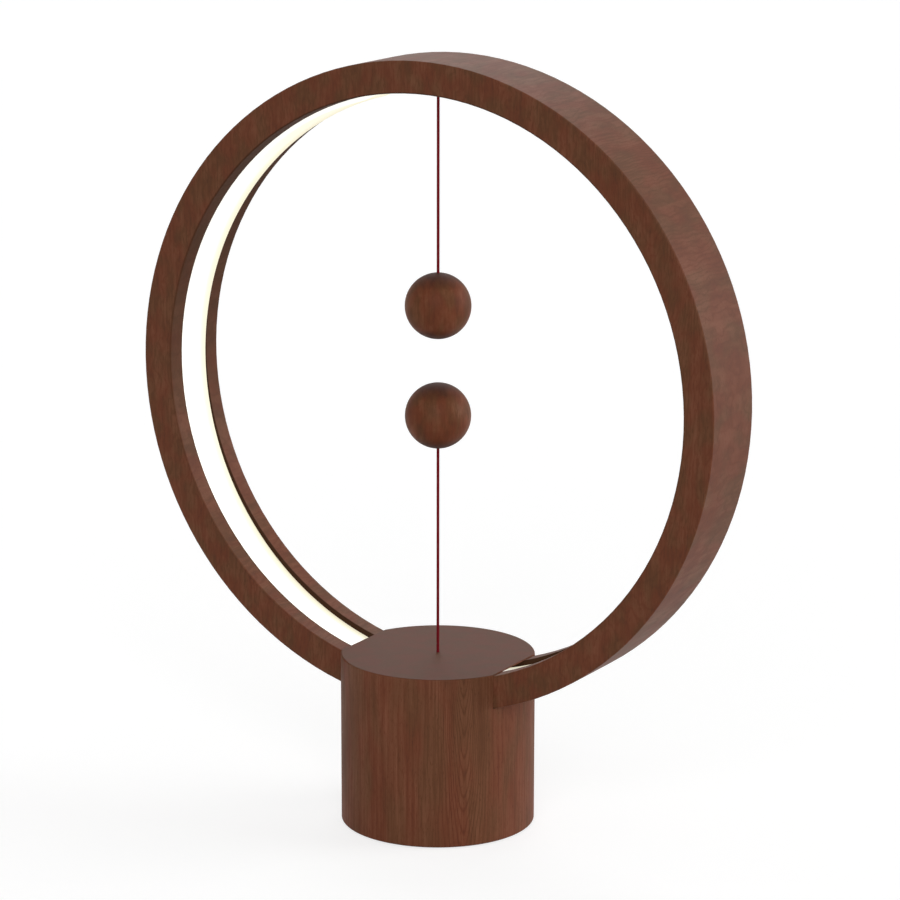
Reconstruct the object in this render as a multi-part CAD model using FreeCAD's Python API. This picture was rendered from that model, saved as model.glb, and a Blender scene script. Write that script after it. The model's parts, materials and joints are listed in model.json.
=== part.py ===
import FreeCAD, Part
import math
import os

# Magnetic balance lamp: an upright wooden light hoop seated in a round wooden base. A ball hangs on a
# cord from the top of the hoop. A second ball on a pull cord out of the base is lifted until its magnet
# holds it under the first one, and that lift works the switch.
#
# Millimetres, +Z up. The origin is the centre of the foot pad's underside. The hoop's axis is along Y.

# ---------------------------------------------------------------- hoop
HOOP_OD = 334.0            # outside diameter
HOOP_WALL = 16.5           # radial thickness of the wood
HOOP_DEPTH = 43.5          # front face to back face
HOOP_EDGE = 0.8            # rounding of the four long edges
LIP_EDGE = 0.3             # rounding of the light slot's two lips
HOOP_FIT = 0.15            # gap left all round where the hoop sits in the base

# ---------------------------------------------------------------- light
SLOT_W = 22.4              # width of the light slot in the hoop's inner face
SLOT_RECESS = 2.4          # inner face of the wood down to the diffuser
DIFFUSER_T = 2.0           # thickness of the opal strip
DIFFUSER_PLAY = 0.15       # diffuser to the slot's side walls
SEAT_GAP = 0.1             # glue under the diffuser
SHOULDER_W = 2.0           # ledge that each edge of the diffuser sits on
LIGHT_SPACE = 3.5          # from the diffuser's ledge down to the channel floor
STRIP_W = 10.0             # flexible circuit strip
STRIP_T = 0.4
STRIP_BED = 0.2            # adhesive under the strip
LED_LENGTH = 3.5
LED_WIDTH = 2.8
LED_HEIGHT = 0.8
LED_PITCH = 16.7
LIGHT_END_X = 28.0         # where strip and diffuser end, each side of the centre, under the cap
LED_END_MARGIN = 8.0       # from the strip's end to its first light
LED_SOLDER = 0.02          # solder under each light

# ---------------------------------------------------------------- base
BASE_D = 101.0             # outside diameter
BASE_EDGE = 0.8            # rounding of the rims
PAD_T = 1.5                # foot pad
PLATE_T = 3.0              # floor plate
POCKET_H = 51.5            # floor plate to the underside of the web
WEB_T = 10.0               # wood between the pocket and the hoop at the centre
COVER = 7.7                # base top above the lowest point of the hoop's inner face
CAP_T = 7.0                # top cap
WOOD_LIFT = 0.6            # wood above the table, so that only the pad touches
POCKET_WALL = 10.5         # wood round the pocket for weight, circuit and switch
POCKET_FILLET = 2.0
REBATE_RIM = 3.8           # wood round the rebate that takes the floor plate and the pad
PLATE_PLAY = 0.3           # floor plate and pad to the rebate's wall

# ---------------------------------------------------------------- cords, balls and magnets
CORD_D = 1.5
CORD_PLAY = 0.2            # cord to the wall of a guiding hole
CORD_PASSAGE_D = 4.0       # free hole through web and hoop
KNOT_D = 3.4
KNOT_PLAY = 0.6            # knot to the wall of its pocket
BALL_D = 34.0
UPPER_DROP = 111.95        # from the point where the upper cord bends to the upper ball's centre
BALL_GAP = 23.1            # air between the two balls while the magnets hold
MAGNET_D = 12.6
MAGNET_H = 6.0
MAGNET_SKIN = 3.0          # wood left between the magnet and the ball's facing pole
MAGNET_PLAY = 0.2          # magnet to the wall of the bore from the cord's side of each ball
KNOT_SLACK = 1.0           # length of the pocket in the ball's plug beyond the knot
PIVOT_BELOW_LIGHT = 0.65   # bend of the upper cord under the diffuser's face
PIVOT_ABOVE_BASE = 5.0     # bend of the lower cord over the base top while it is pulled up

# ---------------------------------------------------------------- upper anchor and lower guide
ANCHOR_D = 5.0
ANCHOR_H = 2.5
BUSH_D = 4.4
STRIP_HOLE_D = 3.0         # hole in the circuit strip for the upper cord
GUIDE_D = 5.0
GUIDE_H = 3.0
GLUE = 0.05                # radial gap of glued or pressed round parts

# ---------------------------------------------------------------- pull switch
TRAVEL = 4.0               # how far the plunger drops when the switch goes off
SWITCH_D = 20.0
SWITCH_WALL = 2.0
SWITCH_ROOF = 3.0
SPRING_L = 6.0             # spring length while the plunger is up
SPRING_D = 7.0             # outside diameter
SPRING_WIRE = 0.5
SPRING_TURNS = 4.5
SPRING_SEAT = 0.03         # air at each end of the spring
FLANGE_D = 8.8
FLANGE_T = 1.6
HUB_D = 6.0
HUB_L = 4.0
BRIDGE_D = 12.8
BRIDGE_T = 0.8
CONTACT_T = 0.5
CONTACT_W = 3.0
CONTACT_REACH = 5.0        # from the axis to the tip of each contact's tongue
CONTACT_PLAY = 0.1         # contact to the slot in the terminal plate
TERMINAL_PLATE_T = 2.0
TERMINAL_HOLE_D = 5.0
END_PLAY = 0.2             # plunger's end to the terminal plate when it is down
EAR_W = 12.0
EAR_T = 2.5
EAR_MARGIN = 3.3           # ear beyond its screw

# ---------------------------------------------------------------- weight, circuit and power inlet
WEIGHT_PLAY = 1.0          # weight to the pocket's wall
WEIGHT_BORE_D = 24.0
WEIGHT_H = 12.0
STANDOFF_AF = 5.5          # across flats
STANDOFF_INSET = 7.0       # standoffs inside the driver board's edge
STUD_L = 6.0
BOARD_PLAY = 5.0           # driver board to the pocket's wall
BOARD_T = 1.6
BOARD_DROP = 3.6           # driver board under the switch
INLET_BOARD_W = 16.0
INLET_BOARD_L = 13.2
INLET_BOARD_T = 1.2
BRACKET_H = 3.2
BRACKET_SET_BACK = 1.3     # bracket behind the inlet board's front edge
INLET_PLAY = 0.3           # inlet board's corners to the pocket's wall
SOCKET_W = 8.94            # metal shell of the power socket
SOCKET_H = 3.2
SOCKET_L = 7.3
SOCKET_T = 0.3
SOCKET_CORNER = 1.2
SOCKET_BACK_T = 1.4
SOCKET_PLAY = 0.3          # socket mouth's corners to the pocket's wall
TONGUE_W = 6.3
TONGUE_T = 0.7
TONGUE_SET_BACK = 0.6
RECESS_W = 14.0            # hole through the wood for the cable's plug
RECESS_H = 8.5
RECESS_CORNER = 3.0
HEADER_PINS = 4
HEADER_PITCH = 2.54
HEADER_PIN = 0.64
HEADER_BLOCK_H = 2.5
HEADER_SET_BACK = 9.5      # header row behind the socket's mouth
LEAD_D = 1.2
LEAD_SPACING = 3.0
LEAD_X = 22.0              # the leads come down this far left of the centre
LEAD_HOLE_D = 9.0
LEAD_ON_STRIP_DEG = 1.2    # length of strip, as an angle, that the leads are soldered to
CONNECTOR_L = 7.0
CONNECTOR_W = 9.0
CONNECTOR_H = 5.0
CAPACITOR = (8.0, 9.0)     # diameter and height
CAPACITOR_AT = (17.0, -15.0)
COIL = (9.0, 4.0)
COIL_AT = (22.0, -1.0)
CONTROLLER = (6.0, 5.0, 1.6)
CONTROLLER_AT = (-8.0, -20.5)
CHIP = (2.0, 1.2, 0.6)     # the small parts in a row
CHIP_COUNT = 6
CHIP_PITCH = 4.0
CHIP_ROW_Y = 19.6

# ---------------------------------------------------------------- screws: shank, head, head height
SCREW_PLAY = 0.05          # shank to its hole
CAP_SCREW = (4.0, 7.5, 2.6)
CAP_SCREW_X = 12.0
CAP_SCREW_INSET = 9.0      # inside the pocket's wall
CAP_SCREW_BITE = 4.8       # into the cap
HOOP_SCREW = (3.5, 6.6, 2.4)
HOOP_SCREW_AT = (26.0, 15.0)
HOOP_SCREW_BITE = 9.0      # into the hoop
SWITCH_SCREW = (2.5, 4.6, 1.6)
SWITCH_SCREW_OUT = 3.2     # outside the switch's cup
SWITCH_SCREW_BITE = 6.0    # into the web
FLOOR_SCREW = (3.0, 5.6, 1.6)
FLOOR_SCREW_INSET = 3.4    # inside the rebate's wall
FLOOR_SCREW_BITE = 10.0    # into the wooden body
WEIGHT_SCREW = (4.0, 7.0, 1.8)
WEIGHT_SCREW_R = 25.0
WEIGHT_SCREW_BITE = 8.0    # into the weight
BOARD_SCREW = (3.0, 5.5, 1.8)
BOARD_SCREW_BITE = 3.4     # into the standoff
DRIVE_W = 0.22             # cross recess: arm width, as a share of the head's diameter
DRIVE_L = 0.6              # and its length
DRIVE_DEPTH = 0.5          # and its depth, as a share of the head's height
TIP_L = 0.9                # length of a wood screw's point, as a share of its shank's diameter

# ---------------------------------------------------------------- what follows from them
HOOP_R = HOOP_OD / 2
HOOP_IN_R = HOOP_R - HOOP_WALL
HOOP_Y = HOOP_DEPTH / 2
BASE_R = BASE_D / 2
POCKET_R = BASE_R - POCKET_WALL
REBATE_R = BASE_R - REBATE_RIM
PLATE_R = REBATE_R - PLATE_PLAY
CAP_SCREW_AT = (CAP_SCREW_X, POCKET_R - CAP_SCREW_INSET)
FLOOR_SCREW_R = REBATE_R - FLOOR_SCREW_INSET
CORD_R = CORD_D / 2
CORD_HOLE_R = CORD_R + CORD_PLAY
KNOT_R = KNOT_D / 2
BALL_R = BALL_D / 2
BORE_R = MAGNET_D / 2 + MAGNET_PLAY
KNOT_POCKET_H = KNOT_D + KNOT_SLACK

PLATE_TOP = PAD_T + PLATE_T
POCKET_TOP = PLATE_TOP + POCKET_H
HOOP_SEAT = POCKET_TOP + WEB_T
HOOP_MID = HOOP_SEAT + HOOP_R
HOOP_FLOOR = HOOP_SEAT + HOOP_WALL
BASE_TOP = HOOP_FLOOR + COVER
CAP_SEAT = BASE_TOP - CAP_T
CAP_FLAT_X = math.sqrt(BASE_R ** 2 - HOOP_Y ** 2)

DIFFUSER_R = HOOP_IN_R + SLOT_RECESS
LEDGE_R = DIFFUSER_R + DIFFUSER_T + SEAT_GAP
CHANNEL_R = LEDGE_R + LIGHT_SPACE
CHANNEL_Y = SLOT_W / 2 - SHOULDER_W
STRIP_R = CHANNEL_R - STRIP_BED - STRIP_T
LIGHT_END_DEG = math.degrees(math.asin(LIGHT_END_X / STRIP_R))

UPPER_PIVOT = HOOP_MID + DIFFUSER_R - PIVOT_BELOW_LIGHT
UPPER_BALL_Z = UPPER_PIVOT - UPPER_DROP
LOWER_BALL_Z = UPPER_BALL_Z - BALL_D - BALL_GAP
LOWER_PIVOT = BASE_TOP + PIVOT_ABOVE_BASE
KNOT_REST = math.sqrt(KNOT_R ** 2 - CORD_HOLE_R ** 2)

SWITCH_CEILING = POCKET_TOP - SWITCH_ROOF
FLANGE_TOP = SWITCH_CEILING - SPRING_L
BRIDGE_TOP = FLANGE_TOP - FLANGE_T
HUB_END = BRIDGE_TOP - HUB_L
TERMINAL_TOP = HUB_END - TRAVEL - END_PLAY
TERMINAL_LOW = TERMINAL_TOP - TERMINAL_PLATE_T
SWITCH_IN_R = SWITCH_D / 2 - SWITCH_WALL
CONTACT_X = BRIDGE_D / 2 + (SWITCH_IN_R - BRIDGE_D / 2 - CONTACT_T) / 2
SWITCH_SCREW_Y = SWITCH_D / 2 + SWITCH_SCREW_OUT
EAR_REACH = SWITCH_SCREW_Y + EAR_MARGIN

WEIGHT_TOP = PLATE_TOP + WEIGHT_H
WEIGHT_R = POCKET_R - WEIGHT_PLAY
BOARD_R = POCKET_R - BOARD_PLAY
STANDOFF_RING_R = BOARD_R - STANDOFF_INSET
BOARD_TOP = TERMINAL_LOW - BOARD_DROP
BOARD_LOW = BOARD_TOP - BOARD_T
INLET_BOARD_LOW = WEIGHT_TOP + BRACKET_H
INLET_BOARD_TOP = INLET_BOARD_LOW + INLET_BOARD_T
SOCKET_Z = INLET_BOARD_TOP + SOCKET_H / 2
SOCKET_MOUTH_Y = math.sqrt(POCKET_R ** 2 - (SOCKET_W / 2) ** 2) - SOCKET_PLAY
INLET_FRONT_Y = math.sqrt(POCKET_R ** 2 - (INLET_BOARD_W / 2) ** 2) - INLET_PLAY
HEADER_Y = SOCKET_MOUTH_Y - HEADER_SET_BACK
CONNECTOR_TOP = BOARD_TOP + CONNECTOR_H


# ---------------------------------------------------------------- helpers
def vec(x, y, z):
    return FreeCAD.Vector(x, y, z)


def upright(radius, z_low, z_high, x=0.0, y=0.0):
    """Upright cylinder between two heights."""
    return Part.makeCylinder(radius, z_high - z_low, vec(x, y, z_low))


def block(x_span, y_span, z_span):
    """Box from three (low, high) pairs."""
    size = [span[1] - span[0] for span in (x_span, y_span, z_span)]
    return Part.makeBox(*size, vec(x_span[0], y_span[0], z_span[0]))


def rounded_edges(points, radii, closed):
    """Straight runs through the points, with each corner turned by an arc of its own radius."""
    last = len(points) - 1
    joints = []
    for index, corner in enumerate(points):
        if radii[index] <= 0 or (not closed and index in (0, last)):
            joints.append((corner, None, corner))
            continue
        back = (points[index - 1] - corner).normalize()
        ahead = (points[(index + 1) % len(points)] - corner).normalize()
        half = back.getAngle(ahead) / 2
        reach = radii[index] / math.tan(half)
        inset = radii[index] / math.sin(half) - radii[index]
        middle = corner + (back + ahead).normalize() * inset
        joints.append((corner + back * reach, middle, corner + ahead * reach))
    edges = []
    for index, (entry, middle, leave) in enumerate(joints):
        if middle is not None:
            edges.append(Part.Arc(entry, middle, leave).toShape())
        following = joints[(index + 1) % len(joints)][0]
        if (closed or index < last) and leave.distanceToPoint(following) > 1e-6:
            edges.append(Part.LineSegment(leave, following).toShape())
    return edges


def face_of(points, radii):
    """Flat face inside a closed outline with rounded corners."""
    return Part.Face(Part.Wire(rounded_edges(points, radii, True)))


def turned(outline, radii):
    """Solid of revolution about Z from (radius, height) points."""
    points = [vec(radius, 0, z) for radius, z in outline]
    return face_of(points, radii).revolve(vec(0, 0, 0), vec(0, 0, 1), 360)


def about_hoop(shape, degrees):
    """The shape turned about the hoop's axis, from the bottom towards -X."""
    copy = shape.copy()
    copy.rotate(vec(0, 0, HOOP_MID), vec(0, 1, 0), degrees)
    return copy


def hooped(outline, radii, start_deg=0.0, sweep_deg=360.0):
    """Solid of revolution about the hoop's axis from (radius, y) points, starting near the bottom."""
    points = [vec(0, y, HOOP_MID - radius) for radius, y in outline]
    face = about_hoop(face_of(points, radii), start_deg)
    return face.revolve(vec(0, 0, HOOP_MID), vec(0, 1, 0), sweep_deg)


def band(radius_in, radius_out, half_width, edge=0.0, start_deg=0.0, sweep_deg=360.0):
    """Flat hoop of rectangular section about the hoop's axis, with its inner edges rounded."""
    outline = [(radius_in, -half_width), (radius_out, -half_width),
               (radius_out, half_width), (radius_in, half_width)]
    return hooped(outline, [edge, 0, 0, edge], start_deg, sweep_deg)


def hoop_disc(radius, half_width):
    """Solid disc about the hoop's axis."""
    return Part.makeCylinder(radius, 2 * half_width, vec(0, -half_width, HOOP_MID), vec(0, 1, 0))


def bar_y(width, height, corner, y_span, z_mid):
    """Bar along Y with a rounded rectangular section."""
    outline = [(-width / 2, -height / 2), (width / 2, -height / 2),
               (width / 2, height / 2), (-width / 2, height / 2)]
    points = [vec(x, y_span[0], z_mid + z) for x, z in outline]
    return face_of(points, [corner] * 4).extrude(vec(0, y_span[1] - y_span[0], 0))


def bend_radii(points):
    """The largest even arcs that the runs of a cord's route leave room for."""
    radii = [0.0]
    for before, corner, after in zip(points, points[1:], points[2:]):
        turn = math.pi - (before - corner).getAngle(after - corner)
        shorter = min((before - corner).Length, (after - corner).Length)
        radii.append(0.45 * shorter / math.tan(turn / 2))
    return radii + [0.0]


def cord_along(points, diameter):
    """Round tube along straight runs joined by tangent arcs."""
    radii = bend_radii(points)
    print("bend radii", [round(radius, 2) for radius in radii[1:-1]])
    path = Part.Wire(rounded_edges(points, radii, False))
    section = Part.Wire(Part.makeCircle(diameter / 2, points[0], points[1] - points[0]))
    tube = path.makePipeShell([section], True, True)
    ideal = math.pi * diameter ** 2 / 4 * path.Length
    print("tube volume", round(tube.Volume, 3), "section times length", round(ideal, 3))
    return tube


def circle_points(radius, degrees):
    """Points on a circle about Z, as (x, y)."""
    return [(radius * math.cos(math.radians(a)), radius * math.sin(math.radians(a))) for a in degrees]


def corner_points(at):
    """The four points (+-x, +-y)."""
    return [(sx * at[0], sy * at[1]) for sx in (-1, 1) for sy in (-1, 1)]


def drive(head_d, head_h, z_low, x, y):
    """Cross recess in the underside of a screw's head."""
    half_w = DRIVE_W * head_d / 2
    half_l = DRIVE_L * head_d / 2
    z_span = (z_low - 1, z_low + DRIVE_DEPTH * head_h)
    along_x = block((x - half_l, x + half_l), (y - half_w, y + half_w), z_span)
    along_y = block((x - half_w, x + half_w), (y - half_l, y + half_l), z_span)
    return along_x.fuse(along_y)


def wood_screw(size, z_face, bite, x, y):
    """Pan-head screw driven upward, its head under z_face and its point bite above."""
    shank_d, head_d, head_h = size
    tip = TIP_L * shank_d
    screw = upright(head_d / 2, z_face - head_h, z_face, x, y)
    screw = screw.fuse(upright(shank_d / 2, z_face, z_face + bite - tip, x, y))
    point = Part.makeCone(shank_d / 2, shank_d / 8, tip, vec(x, y, z_face + bite - tip))
    return screw.fuse(point).cut(drive(head_d, head_h, z_face - head_h, x, y))


def flush_screw(size, z_low, reach, x, y):
    """Countersunk screw driven upward, flush with z_low, reach long in all."""
    shank_d, head_d, head_h = size
    head = Part.makeCone(head_d / 2, shank_d / 2, head_h, vec(x, y, z_low))
    screw = head.fuse(upright(shank_d / 2, z_low + head_h, z_low + reach, x, y))
    return screw.cut(drive(head_d, head_h, z_low, x, y))


def screw_down(size, z_face, bite, x, y):
    """Pan-head screw driven downward from z_face."""
    upward = wood_screw(size, -z_face, bite, x, -y)
    upward.rotate(vec(0, 0, 0), vec(1, 0, 0), 180)
    return upward


def screw_hole(size, z_low, z_high, x, y):
    """Hole for a screw's shank."""
    return upright(size[0] / 2 + SCREW_PLAY, z_low, z_high, x, y)


def flush_hole(size, z_low, z_high, x, y):
    """Countersunk hole for a flush screw."""
    shank_d, head_d, head_h = size
    sink = Part.makeCone(head_d / 2 + SCREW_PLAY, shank_d / 2 + SCREW_PLAY, head_h, vec(x, y, z_low))
    return sink.fuse(screw_hole(size, z_low, z_high, x, y))


def cut_all(shape, tools):
    """The shape less every tool."""
    for tool in tools:
        shape = shape.cut(tool)
    return shape


# ---------------------------------------------------------------- hoop and light
def hoop():
    """Wooden hoop with its light slot, cord and lead holes, and the pilot holes of its screws."""
    slot_y = SLOT_W / 2
    outline = [(HOOP_IN_R, -HOOP_Y), (HOOP_R, -HOOP_Y), (HOOP_R, HOOP_Y), (HOOP_IN_R, HOOP_Y),
               (HOOP_IN_R, slot_y), (LEDGE_R, slot_y), (LEDGE_R, CHANNEL_Y), (CHANNEL_R, CHANNEL_Y),
               (CHANNEL_R, -CHANNEL_Y), (LEDGE_R, -CHANNEL_Y), (LEDGE_R, -slot_y), (HOOP_IN_R, -slot_y)]
    radii = [HOOP_EDGE] * 4 + [LIP_EDGE] + [0.0] * 6 + [LIP_EDGE]
    wood = hooped(outline, radii)
    holes = [
        upright(ANCHOR_D / 2 + GLUE, HOOP_MID + LEDGE_R, anchor_z() + ANCHOR_H + KNOT_D),
        upright(CORD_PASSAGE_D / 2, HOOP_SEAT - 1, HOOP_MID - LEDGE_R),
        upright(LEAD_HOLE_D / 2, HOOP_SEAT - 1, HOOP_MID - LEDGE_R, -LEAD_X),
    ]
    for x, y in corner_points(HOOP_SCREW_AT):
        holes.append(screw_hole(HOOP_SCREW, HOOP_SEAT - 1, hoop_screw_tip(x), x, y))
    return cut_all(wood, holes)


def hoop_under(x):
    """Height of the hoop's outer face over a point x off its centre plane."""
    return HOOP_MID - math.sqrt(HOOP_R ** 2 - x ** 2)


def hoop_screw_tip(x):
    """Height of the point of a hoop screw."""
    return hoop_under(x) + HOOP_SCREW_BITE


def light_arc():
    """Start and sweep, in degrees, of what runs round the hoop but for the gap under the cap."""
    return LIGHT_END_DEG, 360 - 2 * LIGHT_END_DEG


def diffuser():
    """Opal strip that closes the light slot."""
    start, sweep = light_arc()
    strip = band(DIFFUSER_R, DIFFUSER_R + DIFFUSER_T, SLOT_W / 2 - DIFFUSER_PLAY, LIP_EDGE, start, sweep)
    hole = upright(BUSH_D / 2 + GLUE, HOOP_MID + DIFFUSER_R - 1, HOOP_MID + LEDGE_R + 1)
    return strip.cut(hole)


def circuit_strip():
    """Flexible circuit on the channel floor."""
    start, sweep = light_arc()
    strip = band(STRIP_R, STRIP_R + STRIP_T, STRIP_W / 2, 0.0, start, sweep)
    return strip.cut(upright(STRIP_HOLE_D / 2, HOOP_MID + STRIP_R - 1, HOOP_MID + CHANNEL_R))


def strip_leds():
    """Light packages, an even number, so that none stands over the upper cord."""
    start, sweep = light_arc()
    margin = math.degrees(LED_END_MARGIN / STRIP_R)
    usable = sweep - 2 * margin
    pairs = int(math.radians(usable) * STRIP_R / LED_PITCH / 2)
    step = usable / (2 * pairs - 1)
    chip = block((-LED_LENGTH / 2, LED_LENGTH / 2), (-LED_WIDTH / 2, LED_WIDTH / 2),
                 (HOOP_MID - STRIP_R + LED_SOLDER, HOOP_MID - STRIP_R + LED_SOLDER + LED_HEIGHT))
    return [about_hoop(chip, start + margin + index * step) for index in range(2 * pairs)]


def light_leads():
    """Two leads, soldered to the strip's end, that turn down through hoop and web to the circuit."""
    radius = STRIP_R - LEAD_D / 2 - GLUE
    start = math.radians(LIGHT_END_DEG + LEAD_ON_STRIP_DEG)
    x_start = -radius * math.sin(start)
    z_start = HOOP_MID - radius * math.cos(start)
    z_corner = z_start - (-LEAD_X - x_start) * math.tan(start)
    leads = []
    for y in (-LEAD_SPACING / 2, LEAD_SPACING / 2):
        route = [vec(x_start, y, z_start), vec(-LEAD_X, y, z_corner), vec(-LEAD_X, y, CONNECTOR_TOP)]
        leads.append(cord_along(route, LEAD_D))
    return leads


# ---------------------------------------------------------------- upper cord's fixed end
def anchor_z():
    """Underside of the brass anchor in the top of the hoop."""
    return HOOP_MID + CHANNEL_R


def cord_anchor():
    """Brass bush, pressed into the hoop, that the upper knot bears on."""
    outer = upright(ANCHOR_D / 2, anchor_z(), anchor_z() + ANCHOR_H)
    return outer.cut(upright(CORD_HOLE_R, anchor_z() - 1, anchor_z() + ANCHOR_H + 1))


def upper_cord_stub():
    """Fixed end of the upper cord, with its knot over the anchor."""
    knot_z = anchor_z() + ANCHOR_H + KNOT_REST
    knot = Part.makeSphere(KNOT_R, vec(0, 0, knot_z))
    return upright(CORD_R, UPPER_PIVOT + CORD_R, knot_z).fuse(knot)


def diffuser_bush():
    """Clear grommet that lines the diffuser's hole, following the diffuser's two faces."""
    low = HOOP_MID + DIFFUSER_R
    bush = upright(BUSH_D / 2, low - 1, low + DIFFUSER_T + 1)
    bush = bush.common(band(DIFFUSER_R, DIFFUSER_R + DIFFUSER_T, SLOT_W / 2))
    return bush.cut(upright(CORD_HOLE_R, low - 2, low + DIFFUSER_T + 2))


# ---------------------------------------------------------------- balls
def ball_parts(centre, side):
    """Ball, magnet, plug and knot of one ball. side is +1 if its cord leaves upward, -1 if downward."""
    def at(offset):
        return centre + side * offset

    def drum(radius, low, high):
        ends = sorted((at(low), at(high)))
        return upright(radius, ends[0], ends[1])

    magnet_far = -(BALL_R - MAGNET_SKIN)
    magnet_near = magnet_far + MAGNET_H
    sphere = Part.makeSphere(BALL_R, vec(0, 0, centre))
    ball = sphere.cut(drum(BORE_R, magnet_far, BALL_D))
    magnet = drum(MAGNET_D / 2, magnet_far, magnet_near)
    plug = drum(BORE_R - GLUE, magnet_near, BALL_D).common(sphere)
    plug = plug.cut(drum(CORD_HOLE_R, magnet_near - 1, BALL_D))
    plug = plug.cut(drum(KNOT_R + KNOT_PLAY, magnet_near - 1, magnet_near + KNOT_POCKET_H))
    knot_at = magnet_near + KNOT_POCKET_H - KNOT_REST
    knot = Part.makeSphere(KNOT_R, vec(0, 0, at(knot_at)))
    return ball, magnet, plug, knot, at(knot_at + KNOT_R)


def free_cord(z_low, z_high):
    """Straight stretch of cord under tension."""
    return upright(CORD_R, z_low, z_high)


def bend_point(z):
    """The short piece of cord that bends when a ball swings."""
    return Part.makeSphere(CORD_R, vec(0, 0, z))


# ---------------------------------------------------------------- base
def base_shell():
    """Turned wooden body: pocket and rebate below, seat for the hoop above."""
    outline = [(0, POCKET_TOP), (POCKET_R, POCKET_TOP), (POCKET_R, PLATE_TOP), (REBATE_R, PLATE_TOP),
               (REBATE_R, WOOD_LIFT), (BASE_R, WOOD_LIFT), (BASE_R, CAP_SEAT), (0, CAP_SEAT)]
    wood = turned(outline, [0, POCKET_FILLET, 0, 0, 0, BASE_EDGE, 0, 0])
    cuts = [
        hoop_disc(HOOP_R + HOOP_FIT, HOOP_Y + HOOP_FIT),
        upright(CORD_PASSAGE_D / 2, POCKET_TOP - 1, HOOP_SEAT + 1),
        upright(LEAD_HOLE_D / 2, POCKET_TOP - 1, hoop_under(LEAD_X) + HOOP_WALL, -LEAD_X),
        bar_y(RECESS_W, RECESS_H, RECESS_CORNER, (SOCKET_MOUTH_Y, BASE_R + 1), SOCKET_Z),
    ]
    for x, y in corner_points(CAP_SCREW_AT):
        cuts.append(screw_hole(CAP_SCREW, POCKET_TOP - 1, CAP_SEAT + 1, x, y))
    for x, y in corner_points(HOOP_SCREW_AT):
        cuts.append(screw_hole(HOOP_SCREW, POCKET_TOP - 1, hoop_screw_tip(x), x, y))
    for y in (-SWITCH_SCREW_Y, SWITCH_SCREW_Y):
        cuts.append(screw_hole(SWITCH_SCREW, POCKET_TOP - 1, POCKET_TOP + SWITCH_SCREW_BITE, 0, y))
    for x, y in floor_screw_points():
        cuts.append(screw_hole(FLOOR_SCREW, PLATE_TOP - 1, PLATE_TOP + FLOOR_SCREW_BITE, x, y))
    return cut_all(wood, cuts)


def top_cap():
    """Round lid with two flats where the hoop rises beside it, hollowed underneath over the hoop."""
    cap = upright(BASE_R, CAP_SEAT, BASE_TOP)
    cap = cap.common(block((-CAP_FLAT_X, CAP_FLAT_X), (-BASE_D, BASE_D), (CAP_SEAT, BASE_TOP)))
    rims = [edge for edge in cap.Edges if edge.BoundBox.ZMin > BASE_TOP - 1e-4]
    cap = cap.makeFillet(BASE_EDGE, rims)
    cuts = [
        band(HOOP_IN_R - HOOP_FIT, HOOP_R, HOOP_Y + HOOP_FIT),
        upright(CORD_HOLE_R, CAP_SEAT - 1, BASE_TOP + 1),
        upright(GUIDE_D / 2 + GLUE, CAP_SEAT - 1, CAP_SEAT + GUIDE_H),
    ]
    for x, y in corner_points(CAP_SCREW_AT):
        cuts.append(screw_hole(CAP_SCREW, CAP_SEAT - 1, CAP_SEAT + CAP_SCREW_BITE, x, y))
    return cut_all(cap, cuts)


def cord_guide():
    """Bush under the cap's hole that the pull cord slides through."""
    outer = upright(GUIDE_D / 2, CAP_SEAT, CAP_SEAT + GUIDE_H)
    return outer.cut(upright(CORD_HOLE_R, CAP_SEAT - 1, CAP_SEAT + GUIDE_H + 1))


def floor_screw_points():
    return circle_points(FLOOR_SCREW_R, (45, 135, 225, 315))


def weight_screw_points():
    return circle_points(WEIGHT_SCREW_R, (90, 210, 330))


def floor_plate():
    """Steel disc that closes the pocket and carries the weight."""
    plate = upright(PLATE_R, PAD_T, PLATE_TOP)
    cuts = [flush_hole(FLOOR_SCREW, PAD_T, PLATE_TOP + 1, x, y) for x, y in floor_screw_points()]
    cuts += [flush_hole(WEIGHT_SCREW, PAD_T, PLATE_TOP + 1, x, y) for x, y in weight_screw_points()]
    return cut_all(plate, cuts)


def counterweight():
    """Steel ring that keeps the lamp upright."""
    weight = upright(WEIGHT_R, PLATE_TOP, WEIGHT_TOP)
    cuts = [upright(WEIGHT_BORE_D / 2, PLATE_TOP - 1, WEIGHT_TOP + 1)]
    for x, y in weight_screw_points():
        cuts.append(screw_hole(WEIGHT_SCREW, PLATE_TOP - 1, PLATE_TOP + WEIGHT_SCREW_BITE, x, y))
    for x, y in standoff_points():
        cuts.append(screw_hole(BOARD_SCREW, WEIGHT_TOP - STUD_L, WEIGHT_TOP + 1, x, y))
    return cut_all(weight, cuts)


# ---------------------------------------------------------------- switch
def switch_housing():
    """Cup under the web, with two ears."""
    ears = block((-EAR_W / 2, EAR_W / 2), (-EAR_REACH, EAR_REACH), (POCKET_TOP - EAR_T, POCKET_TOP))
    cup = upright(SWITCH_D / 2, TERMINAL_LOW, POCKET_TOP).fuse(ears)
    cuts = [
        upright(SWITCH_IN_R, TERMINAL_LOW - 1, SWITCH_CEILING),
        upright(CORD_PASSAGE_D / 2, SWITCH_CEILING - 1, POCKET_TOP + 1),
    ]
    for y in (-SWITCH_SCREW_Y, SWITCH_SCREW_Y):
        cuts.append(screw_hole(SWITCH_SCREW, POCKET_TOP - EAR_T - 1, POCKET_TOP + 1, 0, y))
    return cut_all(cup, cuts)


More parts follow.
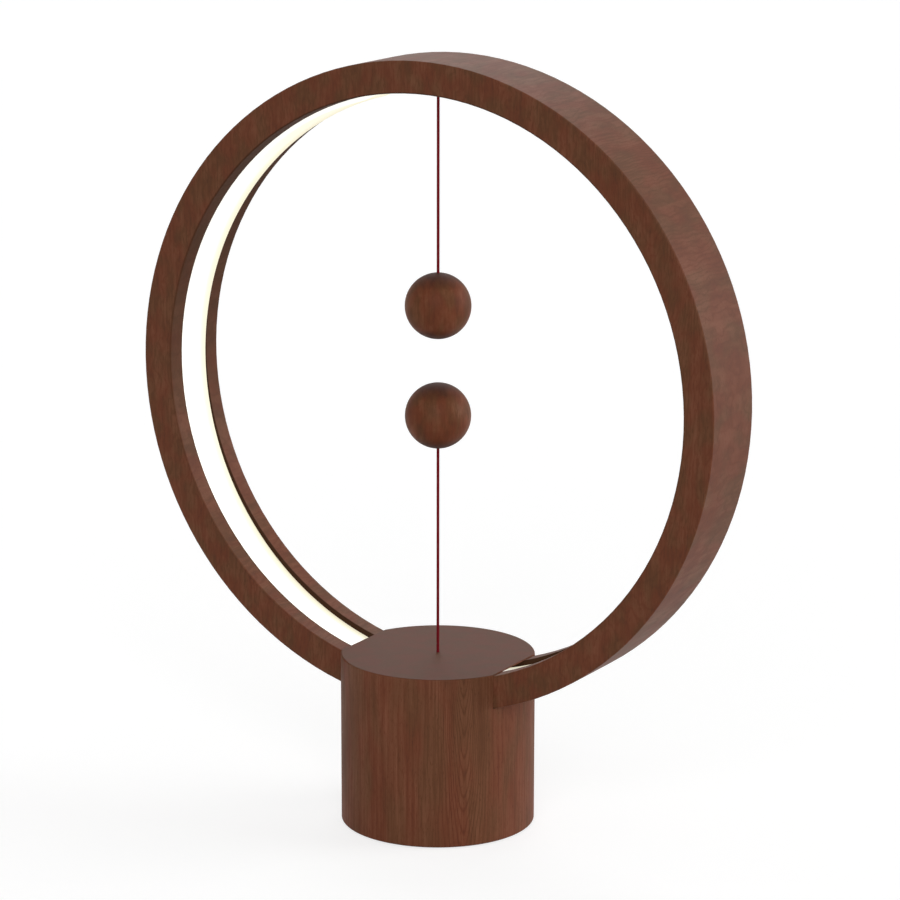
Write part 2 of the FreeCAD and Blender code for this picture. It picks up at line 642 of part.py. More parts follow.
def terminal_plate():
    """Disc that closes the cup and holds the two contacts."""
    plate = upright(SWITCH_IN_R - GLUE, TERMINAL_LOW, TERMINAL_TOP)
    plate = plate.cut(upright(TERMINAL_HOLE_D / 2, TERMINAL_LOW - 1, TERMINAL_TOP + 1))
    for x_span in contact_spans(CONTACT_PLAY):
        half = CONTACT_W / 2 + CONTACT_PLAY
        plate = plate.cut(block(x_span, (-half, half), (TERMINAL_LOW - 1, TERMINAL_TOP + 1)))
    return plate


def contact_spans(play):
    """X spans of the left and right contact blades."""
    low = CONTACT_X - play
    high = CONTACT_X + CONTACT_T + play
    return (-high, -low), (low, high)


def switch_contacts():
    """Two blades that rise from the circuit and turn in over the bridge."""
    contacts = []
    y_span = (-CONTACT_W / 2, CONTACT_W / 2)
    for x_low, x_high in contact_spans(0.0):
        blade = block((x_low, x_high), y_span, (BOARD_TOP, BRIDGE_TOP + CONTACT_T))
        tongue_x = (x_low, -CONTACT_REACH) if x_low < 0 else (CONTACT_REACH, x_high)
        contacts.append(blade.fuse(block(tongue_x, y_span, (BRIDGE_TOP, BRIDGE_TOP + CONTACT_T))))
    return contacts


def return_spring():
    """Compression spring between the cup's ceiling and the plunger's flange."""
    coil_r = (SPRING_D - SPRING_WIRE) / 2
    rise = SPRING_L - SPRING_WIRE - 2 * SPRING_SEAT
    pitch = rise / SPRING_TURNS
    helix = Part.makeHelix(pitch, rise, coil_r)
    section = Part.makeCircle(SPRING_WIRE / 2, vec(coil_r, 0, 0), vec(0, 2 * math.pi * coil_r, pitch))
    spring = Part.Wire(helix.Edges).makePipeShell([Part.Wire(section)], True, True)
    spring.translate(vec(0, 0, FLANGE_TOP + SPRING_WIRE / 2 + SPRING_SEAT))
    return spring


def switch_plunger():
    """Flanged hub on the end of the pull cord."""
    body = upright(FLANGE_D / 2, BRIDGE_TOP, FLANGE_TOP).fuse(upright(HUB_D / 2, HUB_END, BRIDGE_TOP))
    return body.cut(upright(CORD_HOLE_R, HUB_END - 1, FLANGE_TOP + 1))


def contact_bridge():
    """Ring on the hub that joins the two contacts while the plunger is up."""
    ring = upright(BRIDGE_D / 2, BRIDGE_TOP - BRIDGE_T, BRIDGE_TOP)
    return ring.cut(upright(HUB_D / 2 + GLUE, BRIDGE_TOP - BRIDGE_T - 1, BRIDGE_TOP + 1))


def pull_knot_z():
    """Centre of the knot under the plunger."""
    return HUB_END - KNOT_REST


# ---------------------------------------------------------------- circuit and power inlet
def standoff_points():
    return circle_points(STANDOFF_RING_R, (30, 150, 270))


def standoffs():
    """Hexagonal pillars with a stud below and a threaded hole above."""
    pillars = []
    corner_r = STANDOFF_AF / math.sqrt(3)
    for x, y in standoff_points():
        corners = [vec(x + cx, y + cy, WEIGHT_TOP) for cx, cy in circle_points(corner_r, range(0, 360, 60))]
        pillar = face_of(corners, [0.0] * 6).extrude(vec(0, 0, BOARD_LOW - WEIGHT_TOP))
        pillar = pillar.fuse(upright(BOARD_SCREW[0] / 2, WEIGHT_TOP - STUD_L, WEIGHT_TOP, x, y))
        tapped = screw_hole(BOARD_SCREW, BOARD_LOW - BOARD_SCREW_BITE, BOARD_LOW + 1, x, y)
        pillars.append(pillar.cut(tapped))
    return pillars


def driver_board():
    """Round circuit board under the switch."""
    board = upright(BOARD_R, BOARD_LOW, BOARD_TOP)
    holes = [screw_hole(BOARD_SCREW, BOARD_LOW - 1, BOARD_TOP + 1, x, y) for x, y in standoff_points()]
    return cut_all(board, holes)


def on_board(size, at):
    """Block of a (length, width, height) that stands on the driver board, centred on (x, y)."""
    half_l = size[0] / 2
    half_w = size[1] / 2
    x_span = (at[0] - half_l, at[0] + half_l)
    return block(x_span, (at[1] - half_w, at[1] + half_w), (BOARD_TOP, BOARD_TOP + size[2]))


def board_components():
    """Light connector, capacitor, coil, controller and a row of small parts."""
    parts = [
        on_board((CONNECTOR_L, CONNECTOR_W, CONNECTOR_H), (-LEAD_X, 0)),
        upright(CAPACITOR[0] / 2, BOARD_TOP, BOARD_TOP + CAPACITOR[1], *CAPACITOR_AT),
        upright(COIL[0] / 2, BOARD_TOP, BOARD_TOP + COIL[1], *COIL_AT),
        on_board(CONTROLLER, CONTROLLER_AT),
    ]
    first = -CHIP_PITCH * (CHIP_COUNT - 1) / 2
    return parts + [on_board(CHIP, (first + index * CHIP_PITCH, CHIP_ROW_Y)) for index in range(CHIP_COUNT)]


def inlet_y_span():
    """Back and front edge of the inlet board."""
    return INLET_FRONT_Y - INLET_BOARD_L, INLET_FRONT_Y


def inlet_board():
    """Small board that carries the power socket."""
    half = INLET_BOARD_W / 2
    return block((-half, half), inlet_y_span(), (INLET_BOARD_LOW, INLET_BOARD_TOP))


def inlet_bracket():
    """Plastic riser between the weight and the inlet board."""
    half = INLET_BOARD_W / 2
    back, front = inlet_y_span()
    return block((-half, half), (back, front - BRACKET_SET_BACK), (WEIGHT_TOP, INLET_BOARD_LOW))


def power_inlet():
    """Drawn metal shell of the power socket, open towards the back of the lamp."""
    y_span = (SOCKET_MOUTH_Y - SOCKET_L, SOCKET_MOUTH_Y)
    shell = bar_y(SOCKET_W, SOCKET_H, SOCKET_CORNER, y_span, SOCKET_Z)
    inside = (y_span[0] - 1, y_span[1] + 1)
    bore = bar_y(SOCKET_W - 2 * SOCKET_T, SOCKET_H - 2 * SOCKET_T, SOCKET_CORNER - SOCKET_T, inside, SOCKET_Z)
    return shell.cut(bore)


def inlet_core():
    """Moulded back and tongue inside the socket's shell."""
    back_y = SOCKET_MOUTH_Y - SOCKET_L
    width = SOCKET_W - 2 * SOCKET_T
    height = SOCKET_H - 2 * SOCKET_T
    core = bar_y(width, height, SOCKET_CORNER - SOCKET_T, (back_y, back_y + SOCKET_BACK_T), SOCKET_Z)
    tongue = block((-TONGUE_W / 2, TONGUE_W / 2), (back_y, SOCKET_MOUTH_Y - TONGUE_SET_BACK),
                   (SOCKET_Z - TONGUE_T / 2, SOCKET_Z + TONGUE_T / 2))
    return core.fuse(tongue)


def header_xs():
    """Positions of the header's pins across the inlet board."""
    first = -HEADER_PITCH * (HEADER_PINS - 1) / 2
    return [first + index * HEADER_PITCH for index in range(HEADER_PINS)]


def header_pins():
    """Straight pins that join the inlet board to the driver board above it."""
    half = HEADER_PIN / 2
    return [block((x - half, x + half), (HEADER_Y - half, HEADER_Y + half), (INLET_BOARD_TOP, BOARD_LOW))
            for x in header_xs()]


def header_block():
    """Moulded spacer that the pins stand in."""
    half_l = HEADER_PITCH * HEADER_PINS / 2
    half_w = HEADER_PITCH / 2
    spacer = block((-half_l, half_l), (HEADER_Y - half_w, HEADER_Y + half_w),
                   (INLET_BOARD_TOP, INLET_BOARD_TOP + HEADER_BLOCK_H))
    return cut_all(spacer, header_pins())


# ---------------------------------------------------------------- everything, node by node
def all_nodes():
    """Every node's solids by name."""
    upper_ball, upper_magnet, upper_plug, upper_knot, upper_cord_end = ball_parts(UPPER_BALL_Z, 1)
    lower_ball, lower_magnet, lower_plug, lower_knot, lower_cord_end = ball_parts(LOWER_BALL_Z, -1)
    cap_bite = CAP_SEAT + CAP_SCREW_BITE - POCKET_TOP
    ear_low = POCKET_TOP - EAR_T
    return {
        "hoop": [hoop()],
        "light_diffuser": [diffuser()],
        "light_strip": [circuit_strip()],
        "light_strip_leds": strip_leds(),
        "light_leads": light_leads(),
        "upper_cord_anchor": [cord_anchor()],
        "upper_cord_stub": [upper_cord_stub()],
        "diffuser_bush": [diffuser_bush()],
        "base_shell": [base_shell()],
        "top_cap": [top_cap()],
        "cord_guide": [cord_guide()],
        "cap_screws": [wood_screw(CAP_SCREW, POCKET_TOP, cap_bite, x, y)
                       for x, y in corner_points(CAP_SCREW_AT)],
        "hoop_screws": [wood_screw(HOOP_SCREW, POCKET_TOP, hoop_screw_tip(x) - POCKET_TOP, x, y)
                        for x, y in corner_points(HOOP_SCREW_AT)],
        "switch_screws": [wood_screw(SWITCH_SCREW, ear_low, EAR_T + SWITCH_SCREW_BITE, 0, y)
                          for y in (-SWITCH_SCREW_Y, SWITCH_SCREW_Y)],
        "floor_screws": [flush_screw(FLOOR_SCREW, PAD_T, PLATE_T + FLOOR_SCREW_BITE, x, y)
                         for x, y in floor_screw_points()],
        "weight_screws": [flush_screw(WEIGHT_SCREW, PAD_T, PLATE_T + WEIGHT_SCREW_BITE, x, y)
                          for x, y in weight_screw_points()],
        "board_screws": [screw_down(BOARD_SCREW, BOARD_TOP, BOARD_T + BOARD_SCREW_BITE, x, y)
                         for x, y in standoff_points()],
        "foot_pad": [upright(PLATE_R, 0, PAD_T)],
        "floor_plate": [floor_plate()],
        "counterweight": [counterweight()],
        "switch_housing": [switch_housing()],
        "switch_terminal_plate": [terminal_plate()],
        "switch_contacts": switch_contacts(),
        "return_spring": [return_spring()],
        "board_standoffs": standoffs(),
        "driver_board": [driver_board()],
        "board_components": board_components(),
        "inlet_board": [inlet_board()],
        "inlet_bracket": [inlet_bracket()],
        "power_inlet": [power_inlet()],
        "inlet_core": [inlet_core()],
        "header_pins": header_pins(),
        "header_block": [header_block()],
        "switch_plunger": [switch_plunger()],
        "contact_bridge": [contact_bridge()],
        "pull_cord": [free_cord(pull_knot_z() + KNOT_R, LOWER_PIVOT - CORD_R)],
        "pull_cord_knot": [Part.makeSphere(KNOT_R, vec(0, 0, pull_knot_z()))],
        "lower_cord_bend": [bend_point(LOWER_PIVOT)],
        "lower_cord": [free_cord(LOWER_PIVOT + CORD_R, lower_cord_end)],
        "lower_cord_knot": [lower_knot],
        "lower_ball": [lower_ball],
        "lower_magnet": [lower_magnet],
        "lower_ball_plug": [lower_plug],
        "upper_cord_bend": [bend_point(UPPER_PIVOT)],
        "upper_cord": [free_cord(upper_cord_end, UPPER_PIVOT - CORD_R)],
        "upper_cord_knot": [upper_knot],
        "upper_ball": [upper_ball],
        "upper_magnet": [upper_magnet],
        "upper_ball_plug": [upper_plug],
    }


def main():
    os.makedirs("parts", exist_ok=True)
    for name, solids in all_nodes().items():
        shape = solids[0] if len(solids) == 1 else Part.makeCompound(solids)
        shape.exportStep("parts/" + name + ".step")
        print(name, len(shape.Solids), "solids", round(shape.Volume, 1), "mm3", "valid", shape.isValid())
    print("overall height", HOOP_MID + HOOP_R, "base top", round(BASE_TOP, 2))


main()
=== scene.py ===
"""Magnetic balance lamp, dressed: finishes, cords, light band, foot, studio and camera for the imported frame.

Metres, +Z up. The origin is the centre of the foot pad's underside and the hoop's axis is along Y.
"""

import json
import logging
import math
from dataclasses import dataclass, field
from enum import Enum
from typing import Any

import bmesh
import bpy
from mathutils import Matrix, Vector

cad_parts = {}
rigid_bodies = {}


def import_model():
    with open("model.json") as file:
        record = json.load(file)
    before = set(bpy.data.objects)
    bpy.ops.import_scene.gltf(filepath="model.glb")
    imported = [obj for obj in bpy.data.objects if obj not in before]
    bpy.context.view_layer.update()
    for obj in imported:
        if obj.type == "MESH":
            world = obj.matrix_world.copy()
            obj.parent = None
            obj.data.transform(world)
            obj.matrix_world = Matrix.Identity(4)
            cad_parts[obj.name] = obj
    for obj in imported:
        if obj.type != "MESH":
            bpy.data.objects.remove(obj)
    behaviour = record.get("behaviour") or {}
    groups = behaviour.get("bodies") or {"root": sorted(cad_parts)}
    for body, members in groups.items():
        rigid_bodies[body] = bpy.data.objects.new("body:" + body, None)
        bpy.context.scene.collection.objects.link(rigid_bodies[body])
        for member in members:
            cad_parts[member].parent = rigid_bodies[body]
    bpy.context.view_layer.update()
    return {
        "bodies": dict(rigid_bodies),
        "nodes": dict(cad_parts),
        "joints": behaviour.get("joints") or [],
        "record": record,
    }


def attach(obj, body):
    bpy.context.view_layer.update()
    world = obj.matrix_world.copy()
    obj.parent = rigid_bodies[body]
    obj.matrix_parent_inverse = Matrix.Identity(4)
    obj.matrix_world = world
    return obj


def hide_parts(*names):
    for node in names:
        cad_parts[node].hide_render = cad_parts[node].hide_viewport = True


LOG = logging.getLogger("balance_lamp")
MM = 0.001
HOOP_MID_MM = 233.0        # height of the hoop's centre
SHARP_DEG = 35             # edges that turn more than this are drawn sharp
NOISE_REACH = 0.25         # how far a noise strays from its average


# ---------------------------------------------------------------- small tools
def linear(hex_colour: str) -> tuple[float, float, float, float]:
    """Turns an sRGB colour into the linear one that shaders take.

    Args:
        hex_colour: Six hex digits after a number sign.

    Returns:
        Linear red, green, blue and an alpha of 1.
    """
    channels = [int(hex_colour[start:start + 2], 16) / 255 for start in (1, 3, 5)]
    red, green, blue = (c / 12.92 if c <= 0.04045 else ((c + 0.055) / 1.055) ** 2.4 for c in channels)
    return red, green, blue, 1.0


def add(tree: bpy.types.NodeTree, kind: str, inputs: dict[str | int, Any] | None = None,
        stops: list[tuple[float, str]] | None = None, **settings: Any) -> bpy.types.Node:
    """Adds a shader node with its settings, values and links.

    Args:
        tree: The node tree that it goes in.
        kind: Blender's name of the node type.
        inputs: Socket name or number, with its value or the output that feeds it.
        stops: A colour ramp's positions and sRGB colours.
        settings: Properties of the node.

    Returns:
        The new node.
    """
    node = tree.nodes.new(kind)
    for key, value in settings.items():
        setattr(node, key, value)
    for key, value in (inputs or {}).items():
        if isinstance(value, bpy.types.NodeSocket):
            tree.links.new(value, node.inputs[key])
        else:
            node.inputs[key].default_value = value
    for index, (position, colour) in enumerate(stops or []):
        elements = node.color_ramp.elements
        element = elements[index] if index < len(elements) else elements.new(1.0)
        element.position, element.color = position, linear(colour)
    return node


def per_metre(*spacings_mm: float) -> tuple[float, ...]:
    """Pattern scales for spacings in millimetres."""
    return tuple(1 / (spacing * MM) for spacing in spacings_mm)


def piece(name: str, shape: bmesh.types.BMesh, material: bpy.types.Material) -> bpy.types.Object:
    """Turns a finished shape into a smooth-shaded object in the scene.

    Args:
        name: The piece's name.
        shape: Its vertices and faces, freed here.
        material: What covers it.

    Returns:
        The object.
    """
    bmesh.ops.recalc_face_normals(shape, faces=shape.faces)
    for face in shape.faces:
        face.smooth = True
    for edge in shape.edges:
        edge.smooth = len(edge.link_faces) == 2 and edge.calc_face_angle() < math.radians(SHARP_DEG)
    mesh = bpy.data.meshes.new(name)
    shape.to_mesh(mesh)
    shape.free()
    mesh.materials.append(material)
    made = bpy.data.objects.new(name, mesh)
    bpy.context.scene.collection.objects.link(made)
    return made


def skin(shape: bmesh.types.BMesh, rings: list[list[Vector]], closed: bool) -> None:
    """Joins rings of points into a tube.

    Args:
        shape: What the faces are added to.
        rings: The rings in order, all with the same number of points.
        closed: Whether the last ring joins the first. Otherwise both ends are capped.
    """
    made = [[shape.verts.new(point) for point in ring] for ring in rings]
    count = len(made[0])
    for low, high in zip(made, made[1:] + ([made[0]] if closed else [])):
        for index in range(count):
            after = (index + 1) % count
            shape.faces.new((low[index], low[after], high[after], high[index]))
    if not closed:
        shape.faces.new(made[0])
        shape.faces.new(made[-1])


@dataclass(frozen=True)
class Finish:
    """What every finish has: its common name and the way it gets its material."""

    name: str = "finish"

    def material(self) -> bpy.types.Material:
        """Makes the finish's material, or finds it if it is already made.

        Returns:
            The material.
        """
        found = bpy.data.materials.get(self.name)
        if found is not None:
            return found
        made = bpy.data.materials.new(self.name)
        made.use_nodes = True
        tree = made.node_tree
        tree.nodes.clear()
        shader = self.shader(tree)
        add(tree, "ShaderNodeOutputMaterial", {"Surface": shader.outputs[0]})
        return made

    def shader(self, tree: bpy.types.NodeTree) -> bpy.types.Node:
        """Builds the nodes up to the surface shader.

        Args:
            tree: The material's node tree.

        Returns:
            The surface shader node.
        """
        raise NotImplementedError


@dataclass(frozen=True)
class FineTexture(Finish):
    """A surface whose tone, roughness and relief all follow one fine pattern."""

    colour: str = "#808080"
    roughness: float = 0.4
    spread: tuple[float, float] = (-0.06, 0.08)    # of the roughness
    tone: tuple[float, float] = (0.88, 1.1)        # shares of the colour
    relief: float = 0.3
    relief_mm: float = 0.02

    def pattern(self, tree: bpy.types.NodeTree, place: bpy.types.NodeSocket) -> bpy.types.NodeSocket:
        """Builds the pattern.

        Args:
            tree: The node tree.
            place: The coordinates.

        Returns:
            The pattern, from 0 to 1.
        """
        raise NotImplementedError

    def shader(self, tree: bpy.types.NodeTree) -> bpy.types.Node:
        """Builds tone, roughness and relief from the pattern.

        Args:
            tree: The material's node tree.

        Returns:
            The surface shader node.
        """
        fine = self.pattern(tree, add(tree, "ShaderNodeTexCoord").outputs["Object"])
        tone, rough = (add(tree, "ShaderNodeMapRange", {"Value": fine, "To Min": low, "To Max": high})
                       for low, high in (self.tone, [self.roughness + change for change in self.spread]))
        body = add(tree, "ShaderNodeVectorMath", {0: linear(self.colour)[:3], 3: tone.outputs["Result"]},
                   operation="SCALE").outputs["Vector"]
        bump = add(tree, "ShaderNodeBump", {"Strength": self.relief, "Distance": self.relief_mm * MM,
                                            "Height": fine})
        return add(tree, "ShaderNodeBsdfPrincipled", {
            "Base Color": body, "Roughness": rough.outputs["Result"], "Normal": bump.outputs["Normal"],
            **self.sockets()})

    def sockets(self) -> dict[str, float]:
        """Values of the shader's other sockets."""
        return {}


# ---------------------------------------------------------------- wood
@dataclass(frozen=True)
class StainedBeech(Finish):
    """Turned and sanded beech with a dark walnut stain under a thin matt oil.

    The stain goes deeper where the fibres are open, so the eye gets fine streaks along the grain, growth
    rings that close into narrow pointed arches at the heart of the plank, short dark pores, and a slow
    drift of tone. End grain drinks evenly and shows almost none of it. The oil leaves a dull sheen that
    shows at a low angle.
    """

    name: str = "stained_beech"
    dark: str = "#3D1F15"
    red: str = "#64341F"
    olive: str = "#5C3720"
    light: str = "#87563F"
    turn_deg: tuple[float, float, float] = (0.0, 0.0, 0.0)   # from the lamp's axes to the plank's
    heart_mm: float = 0.0                 # where the plank's middle runs, across the plank
    ring_mm: float = 2.1                  # a growth ring, where it shows on the face
    arch_slope: float = 0.28              # how fast the arches open along the plank
    arch_reach_mm: float = 15.0           # how far from the heart they bend
    arch_tip_mm: float = 1.2              # radius of their tips
    wander_mm: float = 0.7                # how far a ring strays
    side_rings: float = 1.0               # how clearly the rings show beyond the arches
    streak_mm: tuple[float, float, float] = (0.9, 0.9, 38.0)   # fibres are finer; drawn as coarse as shows
    pore_mm: tuple[float, float, float] = (0.5, 0.5, 3.2)      # pores are finer; drawn as coarse as shows
    patch_mm: tuple[float, float, float] = (11.0, 11.0, 45.0)  # uneven take-up of the stain
    streaks: float = 0.38
    patches: float = 0.36
    rings: float = 0.12
    pores: float = 0.10
    end_grain: float = 0.85               # how much evener the end grain is
    end_dark: float = 0.10                # and how much darker
    end_gloss: float = 0.0                # and how much smoother
    roughness: float = 0.66
    specular: float = 0.18
    rough_spread: float = 0.08            # how much duller the dark streaks are, and glossier the light ones
    ior: float = 1.5
    relief: float = 0.5
    relief_mm: float = 0.04
    fineness: float = 0.6                 # how much finer unevenness counts
    pore_edge: tuple[float, float] = (0.56, 0.70)              # noise where a pore begins and is open
    drift_edge: tuple[float, float] = (0.35, 0.65)     # noise where olive wood begins to turn red, and ends
    drift_at: tuple[float, float, float] = (7.0, 3.0, 1.0)     # where in the noise the drift is read,
    stray_at: tuple[float, float, float] = (3.0, 9.0, 4.0)     # and where the rings' straying
    end_from: float = 0.6                 # how squarely a face has to cut the fibres to be end grain
    ring_stops: tuple[tuple[float, str], ...] = (              # how dark a ring is from edge to edge
        (0.0, "#A0A0A0"), (0.12, "#101010"), (0.60, "#303030"), (0.88, "#FFFFFF"), (1.0, "#A0A0A0"))
    tones: tuple[float, float, float] = (0.10, 0.50, 0.90)     # where the dark, middle and light colours lie
    slot_mm: float = 0.0                  # half the width of a slot painted near black as shade, or none
    # colour of the painted shade
    painted_shade_colour: str = "#341C09"
    painted_shade_rough: float = 0.3               # how much duller the painted shade is
    painted_shade_fade_mm: float = 1.1             # how far the painted shade fades out over the slot's lips
    outer_mm: float = 166.2               # outside of this radius there is none
    outer_fade_mm: float = 1.0
    inner_mm: float = 151.2               # inside of this one the painted shade also lies thinly on the hoop's inner face
    inner_fade_mm: float = 0.3
    inner_painted_shade: float = 0.75              # how strongly at the top
    inner_facing: tuple[float, float] = (0.65, -0.6)           # the painted shade thins out where faces turn up

    def shader(self, tree: bpy.types.NodeTree) -> bpy.types.Node:
        """Adds up streaks, stain, rings and pores to one tone, and colours it.

        Args:
            tree: The material's node tree.

        Returns:
            The surface shader node.
        """
        turn = tuple(math.radians(angle) for angle in self.turn_deg)
        source = add(tree, "ShaderNodeTexCoord")
        place = add(tree, "ShaderNodeMapping", {"Vector": source.outputs["Object"],
                                                "Rotation": turn}).outputs["Vector"]
        open_pores = add(tree, "ShaderNodeMapRange", {
            "Value": self.grain(tree, place, self.pore_mm, 1.0), "From Min": self.pore_edge[0],
            "From Max": self.pore_edge[1]}, interpolation_type="SMOOTHSTEP").outputs["Result"]
        # each layer with its weight and its average
        layers = [(self.grain(tree, place, self.streak_mm, 3.0), self.streaks, 0.5),
                  (self.grain(tree, place, self.patch_mm, 3.0), self.patches, 0.5),
                  (self.late_wood(tree, place), -self.rings, 0.3), (open_pores, -self.pores, 0.15)]
        figure: Any = -sum(weight * average for _, weight, average in layers)
        for layer, weight, _ in layers:
            figure = add(tree, "ShaderNodeMath", {0: layer, 1: weight, 2: figure},
                         operation="MULTIPLY_ADD").outputs["Value"]
        end = self.end_face(tree, source.outputs["Normal"], turn)
        shown, level = (add(tree, "ShaderNodeMapRange", {"Value": end, "To Min": side, "To Max": side - less})
                        for side, less in ((1.0, self.end_grain), (0.5, self.end_dark)))
        tone = add(tree, "ShaderNodeMath", {0: figure, 1: shown.outputs["Result"],
                                            2: level.outputs["Result"]},
                   operation="MULTIPLY_ADD").outputs["Value"]
        greener, redder = (
            add(tree, "ShaderNodeValToRGB", {"Fac": tone},
                list(zip(self.tones, (self.dark, middle, self.light)))).outputs["Color"]
            for middle in (self.olive, self.red))
        drift = add(tree, "ShaderNodeMapRange", {
            "Value": self.grain(tree, place, self.patch_mm, 1.0, self.drift_at),
            "From Min": self.drift_edge[0], "From Max": self.drift_edge[1]},
            interpolation_type="SMOOTHSTEP").outputs["Result"]
        body = add(tree, "ShaderNodeMix", {0: drift, 6: greener, 7: redder}, data_type="RGBA").outputs[2]
        rough = add(tree, "ShaderNodeMapRange", {
            "Value": tone, "To Min": self.roughness + self.rough_spread,
            "To Max": self.roughness - self.rough_spread}).outputs["Result"]
        rough = add(tree, "ShaderNodeMath", {0: end, 1: -self.end_gloss, 2: rough},
                    operation="MULTIPLY_ADD").outputs["Value"]
        # painted shade: the slot's walls and lips, and the downward faces of the hoop's inner face, turn near
        # black and duller
        if self.slot_mm:
            painted_shade_share = self.painted_shade_mask(tree, source.outputs["Object"], source.outputs["Normal"])
            body = add(tree, "ShaderNodeMix", {0: painted_shade_share, 6: body, 7: linear(self.painted_shade_colour)},
                       data_type="RGBA").outputs[2]
            rough = add(tree, "ShaderNodeMath", {0: painted_shade_share, 1: self.painted_shade_rough, 2: rough},
                        operation="MULTIPLY_ADD").outputs["Value"]
        bump = add(tree, "ShaderNodeBump", {"Strength": self.relief, "Distance": self.relief_mm * MM,
                                            "Height": tone})
        return add(tree, "ShaderNodeBsdfPrincipled", {
            "Base Color": body, "Roughness": rough, "IOR": self.ior, "Specular IOR Level": self.specular,
            "Normal": bump.outputs["Normal"]})

    def painted_shade_mask(self, tree: bpy.types.NodeTree, place: bpy.types.NodeSocket,
                  normal: bpy.types.NodeSocket) -> bpy.types.NodeSocket:
        """Finds where shade is painted on: near black in the slot, and thinner on the hoop's inner face where
        it faces down.

        Args:
            tree: The node tree.
            place: The lamp's coordinates.
            normal: The face's direction in them.

        Returns:
            1 in the slot, less on the inner face and 0 elsewhere.
        """
        off_middle = add(tree, "ShaderNodeMath", {
            0: add(tree, "ShaderNodeSeparateXYZ", {"Vector": place}).outputs["Y"]}, operation="ABSOLUTE")
        from_axis = add(tree, "ShaderNodeVectorMath", {
            0: place, 1: (1.0, 0.0, 1.0), 2: (0.0, 0.0, -HOOP_MID_MM * MM)}, operation="MULTIPLY_ADD")
        radius = add(tree, "ShaderNodeVectorMath", {0: from_axis.outputs["Vector"]},
                     operation="LENGTH").outputs["Value"]
        upwards = add(tree, "ShaderNodeSeparateXYZ", {"Vector": normal}).outputs["Z"]
        bounds = (
            (off_middle.outputs["Value"], (self.slot_mm + self.painted_shade_fade_mm) * MM, self.slot_mm * MM, 1.0),
            (radius, self.outer_mm * MM, (self.outer_mm - self.outer_fade_mm) * MM, 1.0),
            (upwards, *self.inner_facing, self.inner_painted_shade),
            (radius, (self.inner_mm + self.inner_fade_mm) * MM, (self.inner_mm - self.inner_fade_mm) * MM,
             1.0))
        slot, within, facing, inner = (
            add(tree, "ShaderNodeMapRange", {
                "Value": value, "From Min": none, "From Max": full, "To Max": most},
                interpolation_type="SMOOTHSTEP").outputs["Result"]
            for value, none, full, most in bounds)
        painted_shades = [add(tree, "ShaderNodeMath", {0: one, 1: other}, operation="MULTIPLY").outputs["Value"]
                 for one, other in ((slot, within), (facing, inner))]
        return add(tree, "ShaderNodeMath", {0: painted_shades[0], 1: painted_shades[1]}, operation="MAXIMUM").outputs["Value"]

    def end_face(self, tree: bpy.types.NodeTree, normal: bpy.types.NodeSocket,
                 turn: tuple[float, ...]) -> bpy.types.NodeSocket:
        """How far a face cuts across the fibres.

        Args:
            tree: The node tree.
            normal: The face's direction in the lamp's axes.
            turn: From the lamp's axes to the plank's, in radians.

        Returns:
            0 on faces along the fibres, and 1 on end grain.
        """
        turned = add(tree, "ShaderNodeMapping", {"Vector": normal, "Rotation": turn}, vector_type="NORMAL")
        along = add(tree, "ShaderNodeSeparateXYZ", {"Vector": turned.outputs["Vector"]}).outputs["Z"]
        facing = add(tree, "ShaderNodeMath", {0: along}, operation="ABSOLUTE").outputs["Value"]
        return add(tree, "ShaderNodeMapRange", {"Value": facing, "From Min": self.end_from}).outputs["Result"]

    def grain(self, tree: bpy.types.NodeTree, place: bpy.types.NodeSocket,
              size_mm: tuple[float, float, float], octaves: float,
              shift: tuple[float, float, float] = (0.0, 0.0, 0.0)) -> bpy.types.NodeSocket:
        """Uneven wood, drawn out along the plank.

        Args:
            tree: The node tree.
            place: The plank's coordinates.
            size_mm: Feature size across the plank, through it and along it.
            octaves: Octaves of finer unevenness.
            shift: Offset of the pattern.

        Returns:
            A value that is about 0.5 on average.
        """
        drawn = add(tree, "ShaderNodeMapping", {"Vector": place, "Location": shift,
                                                "Scale": per_metre(*size_mm)}).outputs["Vector"]
        return add(tree, "ShaderNodeTexNoise", {"Vector": drawn, "Scale": 1.0, "Detail": octaves,
                                                "Roughness": self.fineness}).outputs["Fac"]

    def late_wood(self, tree: bpy.types.NodeTree, place: bpy.types.NodeSocket) -> bpy.types.NodeSocket:
        """The dark edge of each growth ring.

        Args:
            tree: The node tree.
            place: The plank's coordinates.

        Returns:
            1 at a ring's dark edge, fading to 0 over its early wood.
        """
        parts = add(tree, "ShaderNodeSeparateXYZ", {"Vector": place})
        aside = add(tree, "ShaderNodeMath", {0: parts.outputs["X"], 1: self.heart_mm * MM},
                    operation="SUBTRACT").outputs["Value"]
        squared = add(tree, "ShaderNodeMath", {0: aside, 1: aside, 2: (self.arch_tip_mm * MM) ** 2},
                      operation="MULTIPLY_ADD").outputs["Value"]
        away = add(tree, "ShaderNodeMath", {0: squared}, operation="SQRT").outputs["Value"]
        bend = add(tree, "ShaderNodeMapRange", {"Value": away, "From Min": 0.0, "To Min": -self.arch_slope,
                                                "From Max": self.arch_reach_mm * MM, "To Max": 0.0},
                   interpolation_type="SMOOTHSTEP").outputs["Result"]
        arched = add(tree, "ShaderNodeMath", {0: parts.outputs["Z"], 1: bend, 2: away},
                     operation="MULTIPLY_ADD").outputs["Value"]
        stray = self.grain(tree, place, self.patch_mm, 2.0, self.stray_at)
        strayed = add(tree, "ShaderNodeMath", {0: stray, 1: self.wander_mm * MM / NOISE_REACH, 2: arched},
                      operation="MULTIPLY_ADD").outputs["Value"]
        rings = add(tree, "ShaderNodeMath", {0: strayed, 1: per_metre(self.ring_mm)[0]}, operation="MULTIPLY")
        phase = add(tree, "ShaderNodeMath", {0: rings.outputs["Value"]}, operation="FRACT").outputs["Value"]
        edge = add(tree, "ShaderNodeValToRGB", {"Fac": phase}, list(self.ring_stops))
